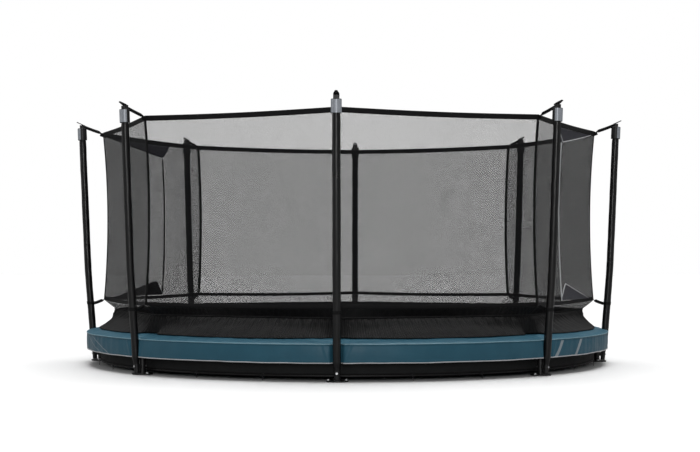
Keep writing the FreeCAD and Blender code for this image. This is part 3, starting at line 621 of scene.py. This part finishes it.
def apex_share(node, n):
    """Where the highest point of a node stands across its bay, as a share of the bay."""
    p = cad_points(node)
    top = p[p[:, 2] > p[:, 2].max() - 0.001].mean(0)
    a, b = leg_angle(n), leg_angle(n) + BAY
    along = np.array([math.cos(b) - math.cos(a), math.sin(b) - math.sin(a)])
    along /= np.linalg.norm(along)
    return 0.5 + float(top[:2] @ along) / (2 * band_top[1] * math.sin(BAY / 2))


DOORS = {"a": 2, "b": 6}
for number in range(1, LEGS + 1):
    if number not in DOORS.values():
        net_part(f"net_panel_{number}", number, 0.0, 1.0, ["net_panels"])

GUSSET_LOW = reach("door_gussets")[2]
GUSSET_FALL = band_top[2] - GUSSET_LOW
for letter, bay in DOORS.items():
    door_node = f"door_net_{letter}"
    edge, hinge = bay_share(door_node, bay)
    gap = 0.003

    lead = bay_share("door_gussets", bay)[0]

    def slant(shares, edge=edge, hinge=hinge, lead=lead):
        rise = np.clip((hinge - shares) / (hinge - edge), 0, 1)
        fall = np.clip((shares - lead) / (edge - lead), 0, 1)
        return top_line(shares) - GUSSET_FALL * np.minimum(rise, fall)

    net_part(f"door_side_{letter}", bay, 0.0, edge - gap, ["door_surrounds"], tops=slant)
    net_part(f"door_hinge_strip_{letter}", bay, hinge, 1.0, ["door_surrounds"])
    net_part(f"door_gusset_{letter}", bay, lead, hinge, ["door_gussets"], lows=lambda s: slant(s) - 0.001,
             slot="strap_webbing", material=PATCH_CLOTH, rows=10, thick=0.0016, lift=0.002, wave=0.001)
    door = net_part(f"door_net_cloth_{letter}", bay, edge, hinge, [door_node], body=None,
                    tops=lambda s: slant(s) - 0.004, lows=lambda s: low_line(s) + 0.003, seed=20)
    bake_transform(door)

    # piping down the free edge, with a tape beside it, and the slanting piping under the gusset
    z = np.linspace(float(slant(np.array([edge]))[0]) - 0.006, float(low_line(edge)) + 0.004, 90)
    xy = across_bay(bay, np.full(z.shape, edge), net_r(z) + 0.004)
    line = np.concatenate([xy, z[:, None]], 1)
    piece(f"door_edge_piping_{letter}", tube(line, 0.0036), f"door_{letter}", "piping_white",
          [f"door_piping_{letter}"])
    s = np.linspace(lead + 0.004, hinge - 0.03, 60)
    xy = across_bay(bay, s, net_r(1.87) + 0.0055)
    line = np.concatenate([xy, (slant(s) + 0.002)[:, None]], 1)
    piece(f"gusset_edge_piping_{letter}", tube(line, 0.0026), "frame", "piping_white", ["gusset_piping"])
    net_part(f"door_edge_tape_{letter}", bay, edge, edge + 0.018, [], body=f"door_{letter}",
             tops=lambda s: slant(s) - 0.004, lows=lambda s: low_line(s) + 0.003, slot="strap_webbing",
             thick=0.0012, lift=0.0012, wave=0.0, rows=60)

    # the three-cornered patch at the foot of the free edge, piped along its slanting side
    patch_top = reach(f"door_patch_{letter}")[3]
    patch_end = bay_share(f"door_patch_{letter}", bay)[1]
    patch_low = float(low_line(edge)) + 0.003
    patch_apex = apex_share(f"door_patch_{letter}", bay)

    def patch_line(shares):
        rise = np.clip((shares - edge) / (patch_apex - edge), 0.02, 1)
        fall = np.clip((patch_end - shares) / (patch_end - patch_apex), 0.02, 1)
        return patch_low + (patch_top - patch_low) * np.minimum(rise, fall)

    net_part(f"door_foot_patch_{letter}", bay, edge + 0.004, patch_end, [f"door_patch_{letter}"],
             body=f"door_{letter}", tops=patch_line, lows=lambda s: np.full(s.shape, patch_low),
             slot="strap_webbing", material=PATCH_CLOTH, rows=14, thick=0.0016, lift=0.004, wave=0.002)
    s = np.linspace(edge + 0.006, patch_end, 60)
    xy = across_bay(bay, s, net_r(patch_top) + 0.0065)
    line = np.concatenate([xy, (patch_line(s) + 0.001)[:, None]], 1)
    piece(f"patch_piping_{letter}", tube(line, 0.0028), f"door_{letter}", "piping_white", [])


# ---- bands, lower mesh, hem and skirts: closed loops round all eight bays ------------------------
def loop_shares(per_bay):
    bay = np.repeat(np.arange(LEGS), per_bay)
    share = np.tile(np.arange(per_bay) / per_bay, LEGS)
    return bay, share


def octagon(per_bay, r):
    """Points round the eight-sided net for corner distances r, one row per place round it."""
    bay, share = loop_shares(per_bay)
    a = -math.pi / 2 + BAY * bay
    b = a + BAY
    shape = (-1,) + (1,) * (np.ndim(r) - 1)
    share, a, b = (x.reshape(shape) for x in (share, a, b))
    x = r * (np.cos(a) * (1 - share) + np.cos(b) * share)
    y = r * (np.sin(a) * (1 - share) + np.sin(b) * share)
    return x, y


def loop_uv(per_bay, side, v):
    """UVs of a loop with one row more than its points, u in metres round it and v as given."""
    u = np.arange(LEGS * per_bay + 1) * side / per_bay
    v = np.concatenate([v, v[:1]])
    return np.stack([np.repeat(u[:, None], v.shape[1], 1), v], -1)


def loop_cloth(per_bay, r, z, thick, waves=None):
    """A closed thin band round the net from arrays of corner distance and height, top row first."""
    x, y = octagon(per_bay, r)
    points = np.stack([x, y, z], -1)
    if waves is not None:
        direction = points * np.array([1, 1, 0])
        direction /= np.linalg.norm(direction, axis=-1, keepdims=True)
        points = points + direction * waves(points)[..., None]
    side = 2 * float(np.mean(r)) * math.sin(BAY / 2)
    drop = np.cumsum(np.abs(np.diff(z, axis=1, prepend=z[:, :1])), 1)
    return cloth(points, loop_uv(per_bay, side, -drop), thick, True), side * LEGS


def straight_band(name, node, box, rows, thick):
    per_bay = 36
    _, share = loop_shares(per_bay)
    sag = NET_SAG * np.sin(share * math.pi)
    v = np.linspace(0, 1, rows)
    z = (box[3] - (box[3] - box[2]) * v)[None] - sag[:, None]
    edge = np.minimum(v, 1 - v)
    bulge = 0.0012 * smooth(edge / 0.15)
    r = np.broadcast_to(box[1] - 0.0012 + bulge[None], z.shape)
    part, round_it = loop_cloth(per_bay, r, z, thick)
    obj = piece(name, part, "frame", "strap_webbing", [node])
    return obj


straight_band("net_top_webbing", "net_top_band", band_top, 9, 0.003)
straight_band("net_low_webbing", "net_lower_band", band_low, 7, 0.003)

hem_z = (hem_box[2] + hem_box[3]) / 2
hem_r = hem_box[1] - 0.005
PER_BAY = 240


def gathers(points, size, seed):
    """Fine upright pleats round the ring, their line wavering a little."""
    angle = np.arctan2(points[..., 1], points[..., 0])
    pleat = np.sin(angle * round(math.tau * 1.95 / size) + 1.6 * ripple(points, 0.5, seed, 2))
    return pleat


# mesh between the lower band and the hem
rows = 12
v = np.linspace(0, 1, rows)
low_mesh = corner_rows("net_lower_mesh")
_, share = loop_shares(PER_BAY)
sag = NET_SAG * np.sin(share * math.pi)
z = (band_low[2] - 0.001) * (1 - v) + (hem_box[3] - 0.001) * v
z = z[None] - sag[:, None] * (1 - v)[None]
r = low_mesh[1][-1] * (1 - v) + hem_r * v
part, long = loop_cloth(PER_BAY, np.broadcast_to(r, z.shape), z, THREAD,
                        lambda p: 0.004 * gathers(p, 0.09, 3) * np.sin(v * math.pi)[None])
obj = piece("lower_net_mesh", part, "frame", "net_mesh", ["net_lower_mesh"])
slope = math.hypot(band_low[2] - hem_box[3], (low_mesh[1][-1] - hem_r) * math.cos(BAY / 2))

# hem: a thin gathered roll
bay, share = loop_shares(PER_BAY)
x, y = octagon(PER_BAY, np.full(share.shape, hem_r))
line = np.stack([x, y, np.full(share.shape, hem_z)], -1)
line[:, 2] += 0.0015 * ripple(line, 0.15, 5)
part = tube(line, 0.0052 * (1 + 0.12 * ripple(line, 0.05, 6)), 8, True)
piece("gathered_hem", part, "frame", "strap_webbing", ["net_hem"])

# outer skirt: from the straight hem out to a round edge on the pad, drawn back beside each pole
skirt = reach("net_skirt")
rows = 18
v = np.linspace(0, 1, rows)
bay_long = skirt[1] * BAY
from_corner = np.minimum(share, 1 - share) * bay_long
drawn_back = 1 - smooth((from_corner - 0.045) / 0.075)
nearest_leg = (bay + np.round(share)) % LEGS
drawn_back = drawn_back * np.where(nearest_leg == 0, 0.3, 1.0)
a = -math.pi / 2 + BAY * bay + BAY * share
edge_r = skirt[1] - 0.004 + 0.018 * np.sin(share * math.pi) - 0.075 * drawn_back
edge_r = edge_r + 0.006 * ripple(on_ring(2.0, a, 0.3), 0.5, 7)
edge_z = pad_surface(edge_r) + 0.0045
x, y = octagon(PER_BAY, np.full(share.shape, hem_r))
upper = np.stack([x, y, np.full(share.shape, hem_box[2] + 0.002)], -1)
lower = on_ring(edge_r, a, edge_z)
points = upper[:, None] * (1 - v)[None, :, None] + lower[:, None] * v[None, :, None]
points[..., 2] -= 0.012 * np.sin(v * math.pi)[None]
outward = points * np.array([1, 1, 0]) / np.linalg.norm(points[..., :2], axis=-1)[..., None]
push = 0.0060 * gathers(points, 0.10, 8) * (smooth(v / 0.2) * (1 - 0.7 * smooth((v - 0.8) / 0.2)))[None]
push = push + 0.010 * ripple(points, 0.35, 9) * np.sin(v * math.pi)[None]
heading = smooth(v / 0.08) * (1 - smooth((v - 0.16) / 0.26))
bunched = 0.006 + 0.0055 * gathers(points, 0.045, 12) + 0.004 * ripple(points, 0.11, 13)
push = push + bunched * heading[None]
points += outward * push[..., None]
points[..., 2] = np.maximum(points[..., 2], pad_surface(np.hypot(points[..., 0], points[..., 1])) + 0.0035)
long = LEGS * 2 * hem_r * math.sin(BAY / 2)
slope = float(np.mean(np.linalg.norm(upper - lower, axis=1)))
uv = loop_uv(PER_BAY, long / LEGS, -np.broadcast_to(v * slope, points.shape[:2]))
part = cloth(points, uv, 0.0016, True)
obj = piece("outer_skirt", part, "frame", "skirt_cloth", ["net_skirt"])

# inner skirt: from the straight-sided hem down to the round edge of the mat
inner = reach("net_inner_skirt")
rows = 18
v = np.linspace(0, 1, rows)
a = -math.pi / 2 + BAY * bay + BAY * share
top_x, top_y = octagon(PER_BAY, np.full(share.shape, hem_r - 0.006))
low_r = inner[0] + 0.003
upper = np.stack([top_x, top_y, np.full(share.shape, inner[3])], -1)
lower = on_ring(low_r, a, inner[2] + 0.001)
points = upper[:, None] * (1 - v)[None, :, None] + lower[:, None] * v[None, :, None]
points[..., 2] -= 0.010 * np.sin(v * math.pi)[None]
inward = -points * np.array([1, 1, 0]) / np.linalg.norm(points[..., :2], axis=-1)[..., None]
points += inward * (0.005 * gathers(points, 0.07, 12) * np.sin(v * math.pi)[None])[..., None]
long = LEGS * 2 * hem_r * math.sin(BAY / 2)
slope = float(np.mean(np.linalg.norm(upper - lower, axis=1)))
uv = loop_uv(PER_BAY, long / LEGS, -np.broadcast_to(v * slope, points.shape[:2]))
part = cloth(points, uv, 0.0016, True)
obj = piece("inner_skirt", part, None, "skirt_cloth", ["net_inner_skirt"])
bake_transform(obj)

# webbing down the net's corners
WEB_HALF = section("corner_webbing", 1.5, 0.0)[2]
for number in range(1, LEGS + 1):
    z = np.linspace(band_top[3] - 0.004, band_low[2] + 0.004, 90)
    s = np.linspace(-1, 1, 7)
    out = np.array([math.cos(leg_angle(number)), math.sin(leg_angle(number)), 0])
    across = np.array([-out[1], out[0], 0])
    centre = on_ring(net_r(z) + 0.0045, leg_angle(number), z)
    cup = 0.004 * (1 - s**2)
    points = centre[:, None] + across * (s * WEB_HALF)[:, None] + out * (cup - 0.004)[:, None]
    points = points.transpose(1, 0, 2)
    uv = np.stack(np.meshgrid(s * WEB_HALF, z, indexing="ij"), -1)
    part = cloth(points, uv, 0.0022)
    obj = piece(f"corner_tape_{number}", part, "frame", "strap_webbing", ["corner_webbing"])


# ---- straps --------------------------------------------------------------------------------------
def strap(name, n, line, half, thick, node, curl=0.0):
    """A strap along (distance out, height) points in a leg's radial plane, curled on itself."""
    line = np.asarray(line, float)
    along = np.gradient(line, axis=0)
    along /= np.linalg.norm(along, axis=1, keepdims=True)
    out = np.array([math.cos(leg_angle(n)), math.sin(leg_angle(n)), 0])
    across = np.array([-out[1], out[0], 0])
    s = np.linspace(-1, 1, 9)
    t = np.linspace(0, 1, len(line))
    bend = np.maximum(curl * smooth(t / 0.22), 0.02)
    radius = half / bend
    over = -along[:, 1:] * out + along[:, :1] * np.array([0, 0, 1.0])
    centre = line[:, :1] * out + line[:, 1:] * np.array([0, 0, 1.0])
    turn = s[:, None] * bend[None]
    tip = smooth(t / 0.22)[None]
    wide = radius * (np.sin(turn) * (1 - tip) + (np.cos(turn) - np.cos(bend)) * tip)
    tall = radius * ((np.cos(turn) - 1) * (1 - tip) + np.sin(turn) * tip)
    points = centre[None] + across * wide[..., None] + over[None] * tall[..., None]
    length = np.concatenate([[0], np.cumsum(np.linalg.norm(np.diff(line, axis=0), axis=1))])
    uv = np.stack(np.meshgrid(s * half, length, indexing="ij"), -1)
    obj = piece(name, cloth(points, uv, thick), "frame", "strap_webbing", [node])
    return obj


tops = reach("top_straps")
TIE_Z = (band_low[2] + band_low[3]) / 2
STRAP_HALF = section("top_straps", (tops[2] + tops[3]) / 2, 0.0)[2]
for number in range(1, LEGS + 1):
    t = np.linspace(0, 1, 24)
    run = np.stack([tops[0] + (tops[1] - tops[0]) * t, tops[2] + 0.001 + (tops[3] - tops[2] - 0.002) * t], -1)
    run[:, 1] -= 0.002 * np.sin(t * math.pi)
    strap(f"hook_strap_{number}", number, run, STRAP_HALF, 0.0024, "top_straps", 0.9)
    # sewn tab where the strap meets the corner of the net
    fold = np.stack([tops[0] + 0.010 * t, tops[2] + 0.004 - 0.030 * t], -1)
    strap(f"corner_tab_{number}", number, fold, STRAP_HALF * 1.25, 0.003, "top_straps")

ties = reach("lower_ties")
TIE_HALF = STRAP_HALF
for number in range(1, LEGS + 1):
    t = np.linspace(0, 1, 20)
    pole_side = pole_reach(ties[2] + 0.02) - FOAM_R - 0.001
    run = np.stack([ties[0] + (pole_side - ties[0]) * t, TIE_Z - 0.008 - 0.032 * t], -1)
    run[:, 1] -= 0.002 * np.sin(t * math.pi)
    strap(f"low_tie_{number}", number, run, TIE_HALF, 0.0024, "lower_ties", 0.9)
    turn = np.linspace(0, math.tau, 40, endpoint=False)
    middle_z = (ties[2] + TIE_Z - 0.02) / 2 + 0.002
    out = np.array([math.cos(leg_angle(number)), math.sin(leg_angle(number)), 0])
    across = np.array([-out[1], out[0], 0])
    heights = np.linspace(0.0125, -0.0125, 5)
    rim = out * np.cos(turn)[:, None] + across * np.sin(turn)[:, None]
    centre = on_ring(pole_reach(middle_z + heights), leg_angle(number), middle_z + heights)
    points = centre[None] + rim[:, None] * (FOAM_R + 0.0028)
    round_it = math.tau * (FOAM_R + 0.0028)
    u = np.arange(41) / 40 * round_it
    uv = np.stack(np.meshgrid(u, heights, indexing="ij"), -1)
    part = cloth(points, uv, 0.002, True)
    obj = piece(f"tie_loop_{number}", part, "frame", "strap_webbing", ["lower_ties"])


# ---- rim pad -------------------------------------------------------------------------------------
PAD_COLUMNS = LEGS * 160
ring_angle = -math.pi / 2 + np.arange(PAD_COLUMNS) / PAD_COLUMNS * math.tau
leg_off = np.abs((np.arange(PAD_COLUMNS) / PAD_COLUMNS * LEGS + 0.5) % 1 - 0.5) * BAY * PAD_OUT
BEHIND_POLE = float(pole_reach(PAD_LOW)) - FOAM_R - 0.006
dimple = 1 - smooth((leg_off - 0.031) / 0.017)
pucker = np.exp(-(leg_off / 0.16) ** 2)


def pad_edge(height):
    """How far out the pad's outer face stands at a height, for each place round the ring."""
    face = PAD_OUT - 0.0035 - (PAD_OUT - 0.0035 - BEHIND_POLE) * dimple
    place_on = on_ring(PAD_OUT, ring_angle, height)
    fold = ripple(place_on * np.array([1, 1, 0.5]), 0.34, 21) * 0.0042
    tight = ripple(place_on * np.array([1, 1, 0.2]), 0.09, 22) * 0.0022 * pucker * (1 - dimple)
    tuck = np.exp(-(((leg_off - 0.050 - 0.35 * (height - SIDE_LOW)) / 0.011) ** 2)) * 0.0045
    return face + fold - 0.001 + tight + tuck * (1 - dimple)


def pad_cushion():
    """The cushion's closed ring: a flat underside and a crowned, softly creased top."""
    turn_in = PAD_IN + 0.001
    outer = pad_edge(SEAM_Z)
    crown = PAD_TOP - 0.0035
    u = np.concatenate([[0, 0.012, 0.035, 0.07], np.linspace(0.12, 0.88, 12), [0.93, 0.965, 0.988, 1]])
    dome = pad_dome(u)
    edge_z = SEAM_Z - 0.001
    z = edge_z + (crown - edge_z) * dome
    r = turn_in + (outer - turn_in)[:, None] * u[None]
    height = np.broadcast_to(z, r.shape).copy()
    top = on_ring(r, ring_angle[:, None], height)
    middle = np.sin(u * math.pi)[None] ** 0.6
    height -= (0.0030 * (1 + ripple(top, 0.45, 23)) * middle) * 0.8
    near_seam = np.exp(-(((1 - u) * 0.26) / 0.035) ** 2)[None]
    small = ripple(top, 0.07, 24)
    height += 0.0020 * small * near_seam * (1 - near_seam * 0.6) * 2
    by_seam = np.exp(-(((1 - u) * 0.26) / 0.09) ** 2)[None]
    height -= 0.012 * (pucker[:, None] ** 2) * by_seam * (1 - 0.5 * dimple[:, None])
    height = np.minimum(height, crown)
    top = on_ring(r, ring_angle[:, None], height)
    low_u = np.array([1.0, 0.97, 0.7, 0.4, 0.1, 0.0])
    low_r = turn_in + (outer - turn_in)[:, None] * low_u[None]
    low_z = np.where(low_u > 0.55, PAD_LOW + 0.012, PAD_LOW + 0.003)
    under = on_ring(low_r, ring_angle[:, None], np.broadcast_to(low_z, low_r.shape))
    points = np.concatenate([top, under], 1)
    step = np.linalg.norm(np.diff(points, axis=1, append=points[:, :1]), axis=-1).mean(0)
    length = np.concatenate([[0], np.cumsum(step)])
    along = np.arange(PAD_COLUMNS + 1) / PAD_COLUMNS * math.tau * PAD_OUT
    uv = np.stack(np.meshgrid(along, length, indexing="ij"), -1)
    return grid(points, uv, True, True, flip=True)


cushion = piece("pad_cushion", pad_cushion(), "frame", "pad_vinyl", ["pad_panels"])

# welt along the outer seam, its light teal a painted highlight of the seam's gloss
seam_r = pad_edge(SEAM_Z) - 0.0005
seam_z = SEAM_Z + 0.001 + 0.001 * ripple(on_ring(2.0, ring_angle, 0), 0.2, 25)
part = tube(on_ring(seam_r, ring_angle, seam_z), 0.0034, 6, True)
piece("pad_seam_welt", part, "frame", "pad_vinyl", [], SEAM_HIGHLIGHT_WELT_CLOTH)

# hanging side
rows = 18
v = np.linspace(0, 1, rows)
side_z = (PAD_LOW + 0.014) + (SIDE_LOW + 0.002 - PAD_LOW - 0.014) * v
points = np.stack([
    on_ring(pad_edge(z) - 0.0005 + 0.0025 * math.sin(math.pi * t) - 0.002 * t, ring_angle, z)
    for z, t in zip(side_z, v)
], 1)
hang = 0.0022 * ripple(on_ring(PAD_OUT, ring_angle, 0), 0.6, 26)
points[..., 2] += hang[:, None] * v[None]
along = np.arange(PAD_COLUMNS + 1) / PAD_COLUMNS * math.tau * PAD_OUT
uv = np.stack(np.meshgrid(along, side_z - SIDE_LOW, indexing="ij"), -1)
side_part = cloth(points, uv, 0.003, True)
obj = piece("pad_side_flap", side_part, "frame", "pad_vinyl", ["pad_sides"], PAD_SIDE_CLOTH)
low_line_r = np.hypot(points[:, -1, 0], points[:, -1, 1]) - 0.0015
part = tube(on_ring(low_line_r, ring_angle, points[:, -1, 2] - 0.0030), 0.0042, 8, True)
piece("pad_edge_piping", part, "frame", "pad_piping", ["pad_piping"])


# ---- ground wall ---------------------------------------------------------------------------------
wall = reach("ground_wall")
rows = 14
v = np.linspace(0, 1, rows)
columns = LEGS * 90
angle = -math.pi / 2 + np.arange(columns) / columns * math.tau
wall_z = wall[3] + (wall[2] - wall[3]) * v
points = on_ring(wall[1] - 0.001, angle[:, None], np.broadcast_to(wall_z, (columns, rows)))
peg_pull = np.abs(np.sin(angle * 12))[:, None]
bow = 0.006 * ripple(points * np.array([1, 1, 0.4]), 0.5, 31) * np.sin(v * math.pi)[None]
crease = 0.0025 * ripple(points * np.array([1, 1, 0.15]), 0.08, 32)
crease = crease * smooth(v / 0.3)[None] * (1 - v * 0.8)[None]
scale = 1 + (bow + crease - 0.002 * peg_pull * v[None]) / wall[1]
points = points * np.stack([scale, scale, np.ones_like(scale)], -1)
along = np.arange(columns + 1) / columns * math.tau * wall[1]
uv = np.stack(np.meshgrid(along, wall_z, indexing="ij"), -1)
obj = piece("wall_cloth_ring", cloth(points, uv, 0.0016, True), "frame", "wall_cloth", ["ground_wall"])


# ---- jumping mat, its edge, rings and springs ----------------------------------------------------
mat_box = reach("mat")
edge_box = reach("mat_webbing")
# a square grid of points pressed into a disc, so that the weave has no pole at its middle
side = np.linspace(-1, 1, 121)
u, v = np.meshgrid(side, side, indexing="ij")
x = mat_box[1] * u * np.sqrt(1 - v ** 2 / 2)
y = mat_box[1] * v * np.sqrt(1 - u ** 2 / 2)
points = np.stack([x, y, np.full(x.shape, mat_box[2] + 0.0004)], -1)
points[..., 2] += 0.0006 * ripple(points, 0.5, 35)
part = cloth(points, points[..., :2].copy(), mat_box[3] - mat_box[2] - 0.0012)
obj = piece("jumping_mat", part, "mat_body", "mat_mesh", ["mat"])

columns = 384
angle = np.arange(columns) / columns * math.tau
profile = [(0, 0.2), (0.15, 0.75), (0.4, 1.0), (0.7, 0.9), (0.92, 0.6), (1, 0.15), (1, -0.15), (0.92, -0.6),
           (0.6, -0.9), (0.3, -0.9), (0.1, -0.6), (0, -0.2)]
half_t = (edge_box[3] - edge_box[2]) / 2
wide = edge_box[1] - edge_box[0]
zc = (edge_box[3] + edge_box[2]) / 2
sewn = 1 + 0.10 * np.sin(angle * 96)
points = np.stack([
    on_ring(edge_box[0] + wide * a * 0.999, angle, zc + half_t * b * sewn * 0.9) for a, b in profile
], 1)
along = np.arange(columns + 1) / columns * math.tau * edge_box[1]
uv = np.stack(np.meshgrid(along, np.arange(len(profile) + 1) * 0.008, indexing="ij"), -1)
part = grid(points, uv, True, True, flip=True)
piece("mat_edge_webbing", part, "mat_body", "strap_webbing", ["mat_webbing"])

# two rows of stitching round the mat, as raised thread
stitch = []
for k, radius in enumerate((edge_box[0] - 0.012, edge_box[0] - 0.034)):
    thread_z = mat_box[3] + 0.0001 + 0.0003 * np.sin(angle * 700 + k)
    stitch.append(tube(on_ring(radius, angle, thread_z), 0.0011, 4, True))
piece("mat_stitching", joined(stitch), "mat_body", "strap_webbing", [])

ring_box = reach("v_rings")
wire = (ring_box[3] - ring_box[2]) / 2
ring_z = (ring_box[3] + ring_box[2]) / 2
bar_r, web_r = ring_box[1] - wire, ring_box[0] + wire
corners = np.array([(bar_r, -0.009), (bar_r, 0.009), (web_r, 0.018), (web_r, -0.018)])
path = []
for k in range(4):
    a, b, c = corners[k - 1], corners[k], corners[(k + 1) % 4]
    for w in np.linspace(-1, 1, 5):
        toward = a if w < 0 else c
        d = toward - b
        path.append(b + d / np.linalg.norm(d) * 0.004 * abs(w) + (a + c - 2 * b) * 0.02 * (1 - abs(w)))
path = np.array(path)
SPRINGS = 96
triangles = []
for k in range(SPRINGS):
    a = -math.pi / 2 + (k + 0.5) * math.tau / SPRINGS
    line = np.stack([path[:, 0] * math.cos(a) - path[:, 1] * math.sin(a),
                     path[:, 0] * math.sin(a) + path[:, 1] * math.cos(a), np.full(len(path), ring_z)], -1)
    triangles.append(tube(line, wire * 0.95, 6, True))
piece("triangle_rings", joined(triangles), "mat_body", "spring_steel", ["v_rings"])

spring_box = reach("springs")
coil_r = (spring_box[3] - spring_box[2]) / 2 - 0.0018
coil_from = bar_r + 0.024
coil_to = float(reach("rail_1")[0]) - 0.030
turns, steps = 30, 9
t = np.linspace(0, 1, turns * steps + 1)
taper = 1 - 0.45 * (1 - smooth(np.minimum(t, 1 - t) / 0.05))
turn = t * turns * math.tau
coil_line = coil_from + (coil_to - coil_from) * t
coil = np.stack([coil_line, coil_r * taper * np.cos(turn), coil_r * taper * np.sin(turn)], -1)
w = np.linspace(-2.4, 2.3, 14)
eye = np.stack([bar_r + 0.0045 + 0.0065 * np.cos(w), np.zeros(14), 0.0062 * np.sin(w)], -1)[::-1]
neck = np.array([[coil_from - 0.006, 0.002, 0.001]])
rail_in = float(reach("rail_1")[0])
hook = np.array([[coil_to + 0.006, 0.002, 0.001], [coil_to + 0.02, 0, 0], [rail_in, 0, 0],
                 [rail_in + 0.007, 0, 0], [rail_in + 0.010, 0, -0.002], [rail_in + 0.011, 0, -0.006],
                 [rail_in + 0.011, 0, -0.011]])
spring_line = np.concatenate([eye, neck, coil, hook])
for k in range(SPRINGS):
    a = -math.pi / 2 + (k + 0.5) * math.tau / SPRINGS
    line = np.stack([spring_line[:, 0] * math.cos(a) - spring_line[:, 1] * math.sin(a),
                     spring_line[:, 0] * math.sin(a) + spring_line[:, 1] * math.cos(a),
                     spring_line[:, 2] + ring_z], -1)
    obj = piece(f"coil_spring_{k + 1}", tube(line, 0.0017, 5), None, "spring_steel", ["springs"])
    out = Vector((math.cos(a), math.sin(a), 0))
    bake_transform(obj)


# ---- floor, light, camera ------------------------------------------------------------------------
def studio():
    scene = bpy.context.scene
    scene.view_settings.view_transform = "Standard"
    world = bpy.data.worlds.new("studio")
    scene.world = world
    world.use_nodes = True
    tree = world.node_tree
    back = tree.nodes["Background"]
    up = tree.nodes.new("ShaderNodeSeparateXYZ")
    tree.links.new(up.inputs[0], tree.nodes.new("ShaderNodeTexCoord").outputs["Generated"])
    ramp = tree.nodes.new("ShaderNodeMapRange")
    tree.links.new(ramp.inputs["Value"], up.outputs[2])
    for socket, value in (("From Min", 0.0), ("From Max", 1.0), ("To Min", 0.10), ("To Max", 0.45)):
        ramp.inputs[socket].default_value = value
    seen = tree.nodes.new("ShaderNodeMix")
    tree.links.new(seen.inputs["Factor"], tree.nodes.new("ShaderNodeLightPath").outputs["Is Camera Ray"])
    tree.links.new(seen.inputs["A"], ramp.outputs[0])
    seen.inputs["B"].default_value = 1.0
    tree.links.new(back.inputs["Strength"], seen.outputs[0])
    back.inputs["Color"].default_value = (1, 1, 1, 1)

    size = 60.0
    xy = np.linspace(-size, size, 9)
    x, y = np.meshgrid(xy, xy, indexing="ij")
    floor_points = np.stack([x, y, np.zeros_like(x)], -1)
    floor_mat = shader("pale floor", (0.90, 0.90, 0.90), 0.6, Specular_IOR_Level=0.2)
    direct = add(floor_mat, "LightPath").outputs["Is Camera Ray"]
    tint(floor_mat, direct, (0.28, 0.28, 0.28), (0.90, 0.90, 0.90))
    part = grid(floor_points, np.stack([x, y], -1))
    floor = piece("studio_floor", part, None, None, [], floor_mat)

    def lamp(name, kind, energy, where, at=(0, 0, 0.8), **settings):
        data = bpy.data.lights.new(name, kind)
        data.energy = energy
        for key, value in settings.items():
            setattr(data, key, value)
        obj = bpy.data.objects.new(name, data)
        obj.location = where
        obj.rotation_euler = (Vector(at) - Vector(where)).to_track_quat("-Z", "Y").to_euler()
        scene.collection.objects.link(obj)

    lamp("overhead", "SUN", 3.0, (0.3, 2.0, 9), angle=math.radians(45))
    lamp("left softbox", "AREA", 35, (-9, -2.5, 3.0), shape="RECTANGLE", size=1.4, size_y=4)
    lamp("right softbox", "AREA", 15, (9, -3, 3.0), shape="RECTANGLE", size=1.4, size_y=4)
    lamp("front softbox", "AREA", 230, (0.4, -12.9, 2.7), (0, 0, 1.2),
         shape="RECTANGLE", size=0.55, size_y=2.6)

    camera = bpy.data.cameras.new("camera")
    camera.lens = 75.3
    camera.clip_end = 300
    obj = bpy.data.objects.new("camera", camera)
    obj.location = (0.4196, -12.262, 0.86)
    obj.rotation_euler = (math.radians(91.25), 0, math.radians(1.86))
    scene.collection.objects.link(obj)
    scene.camera = obj


studio()
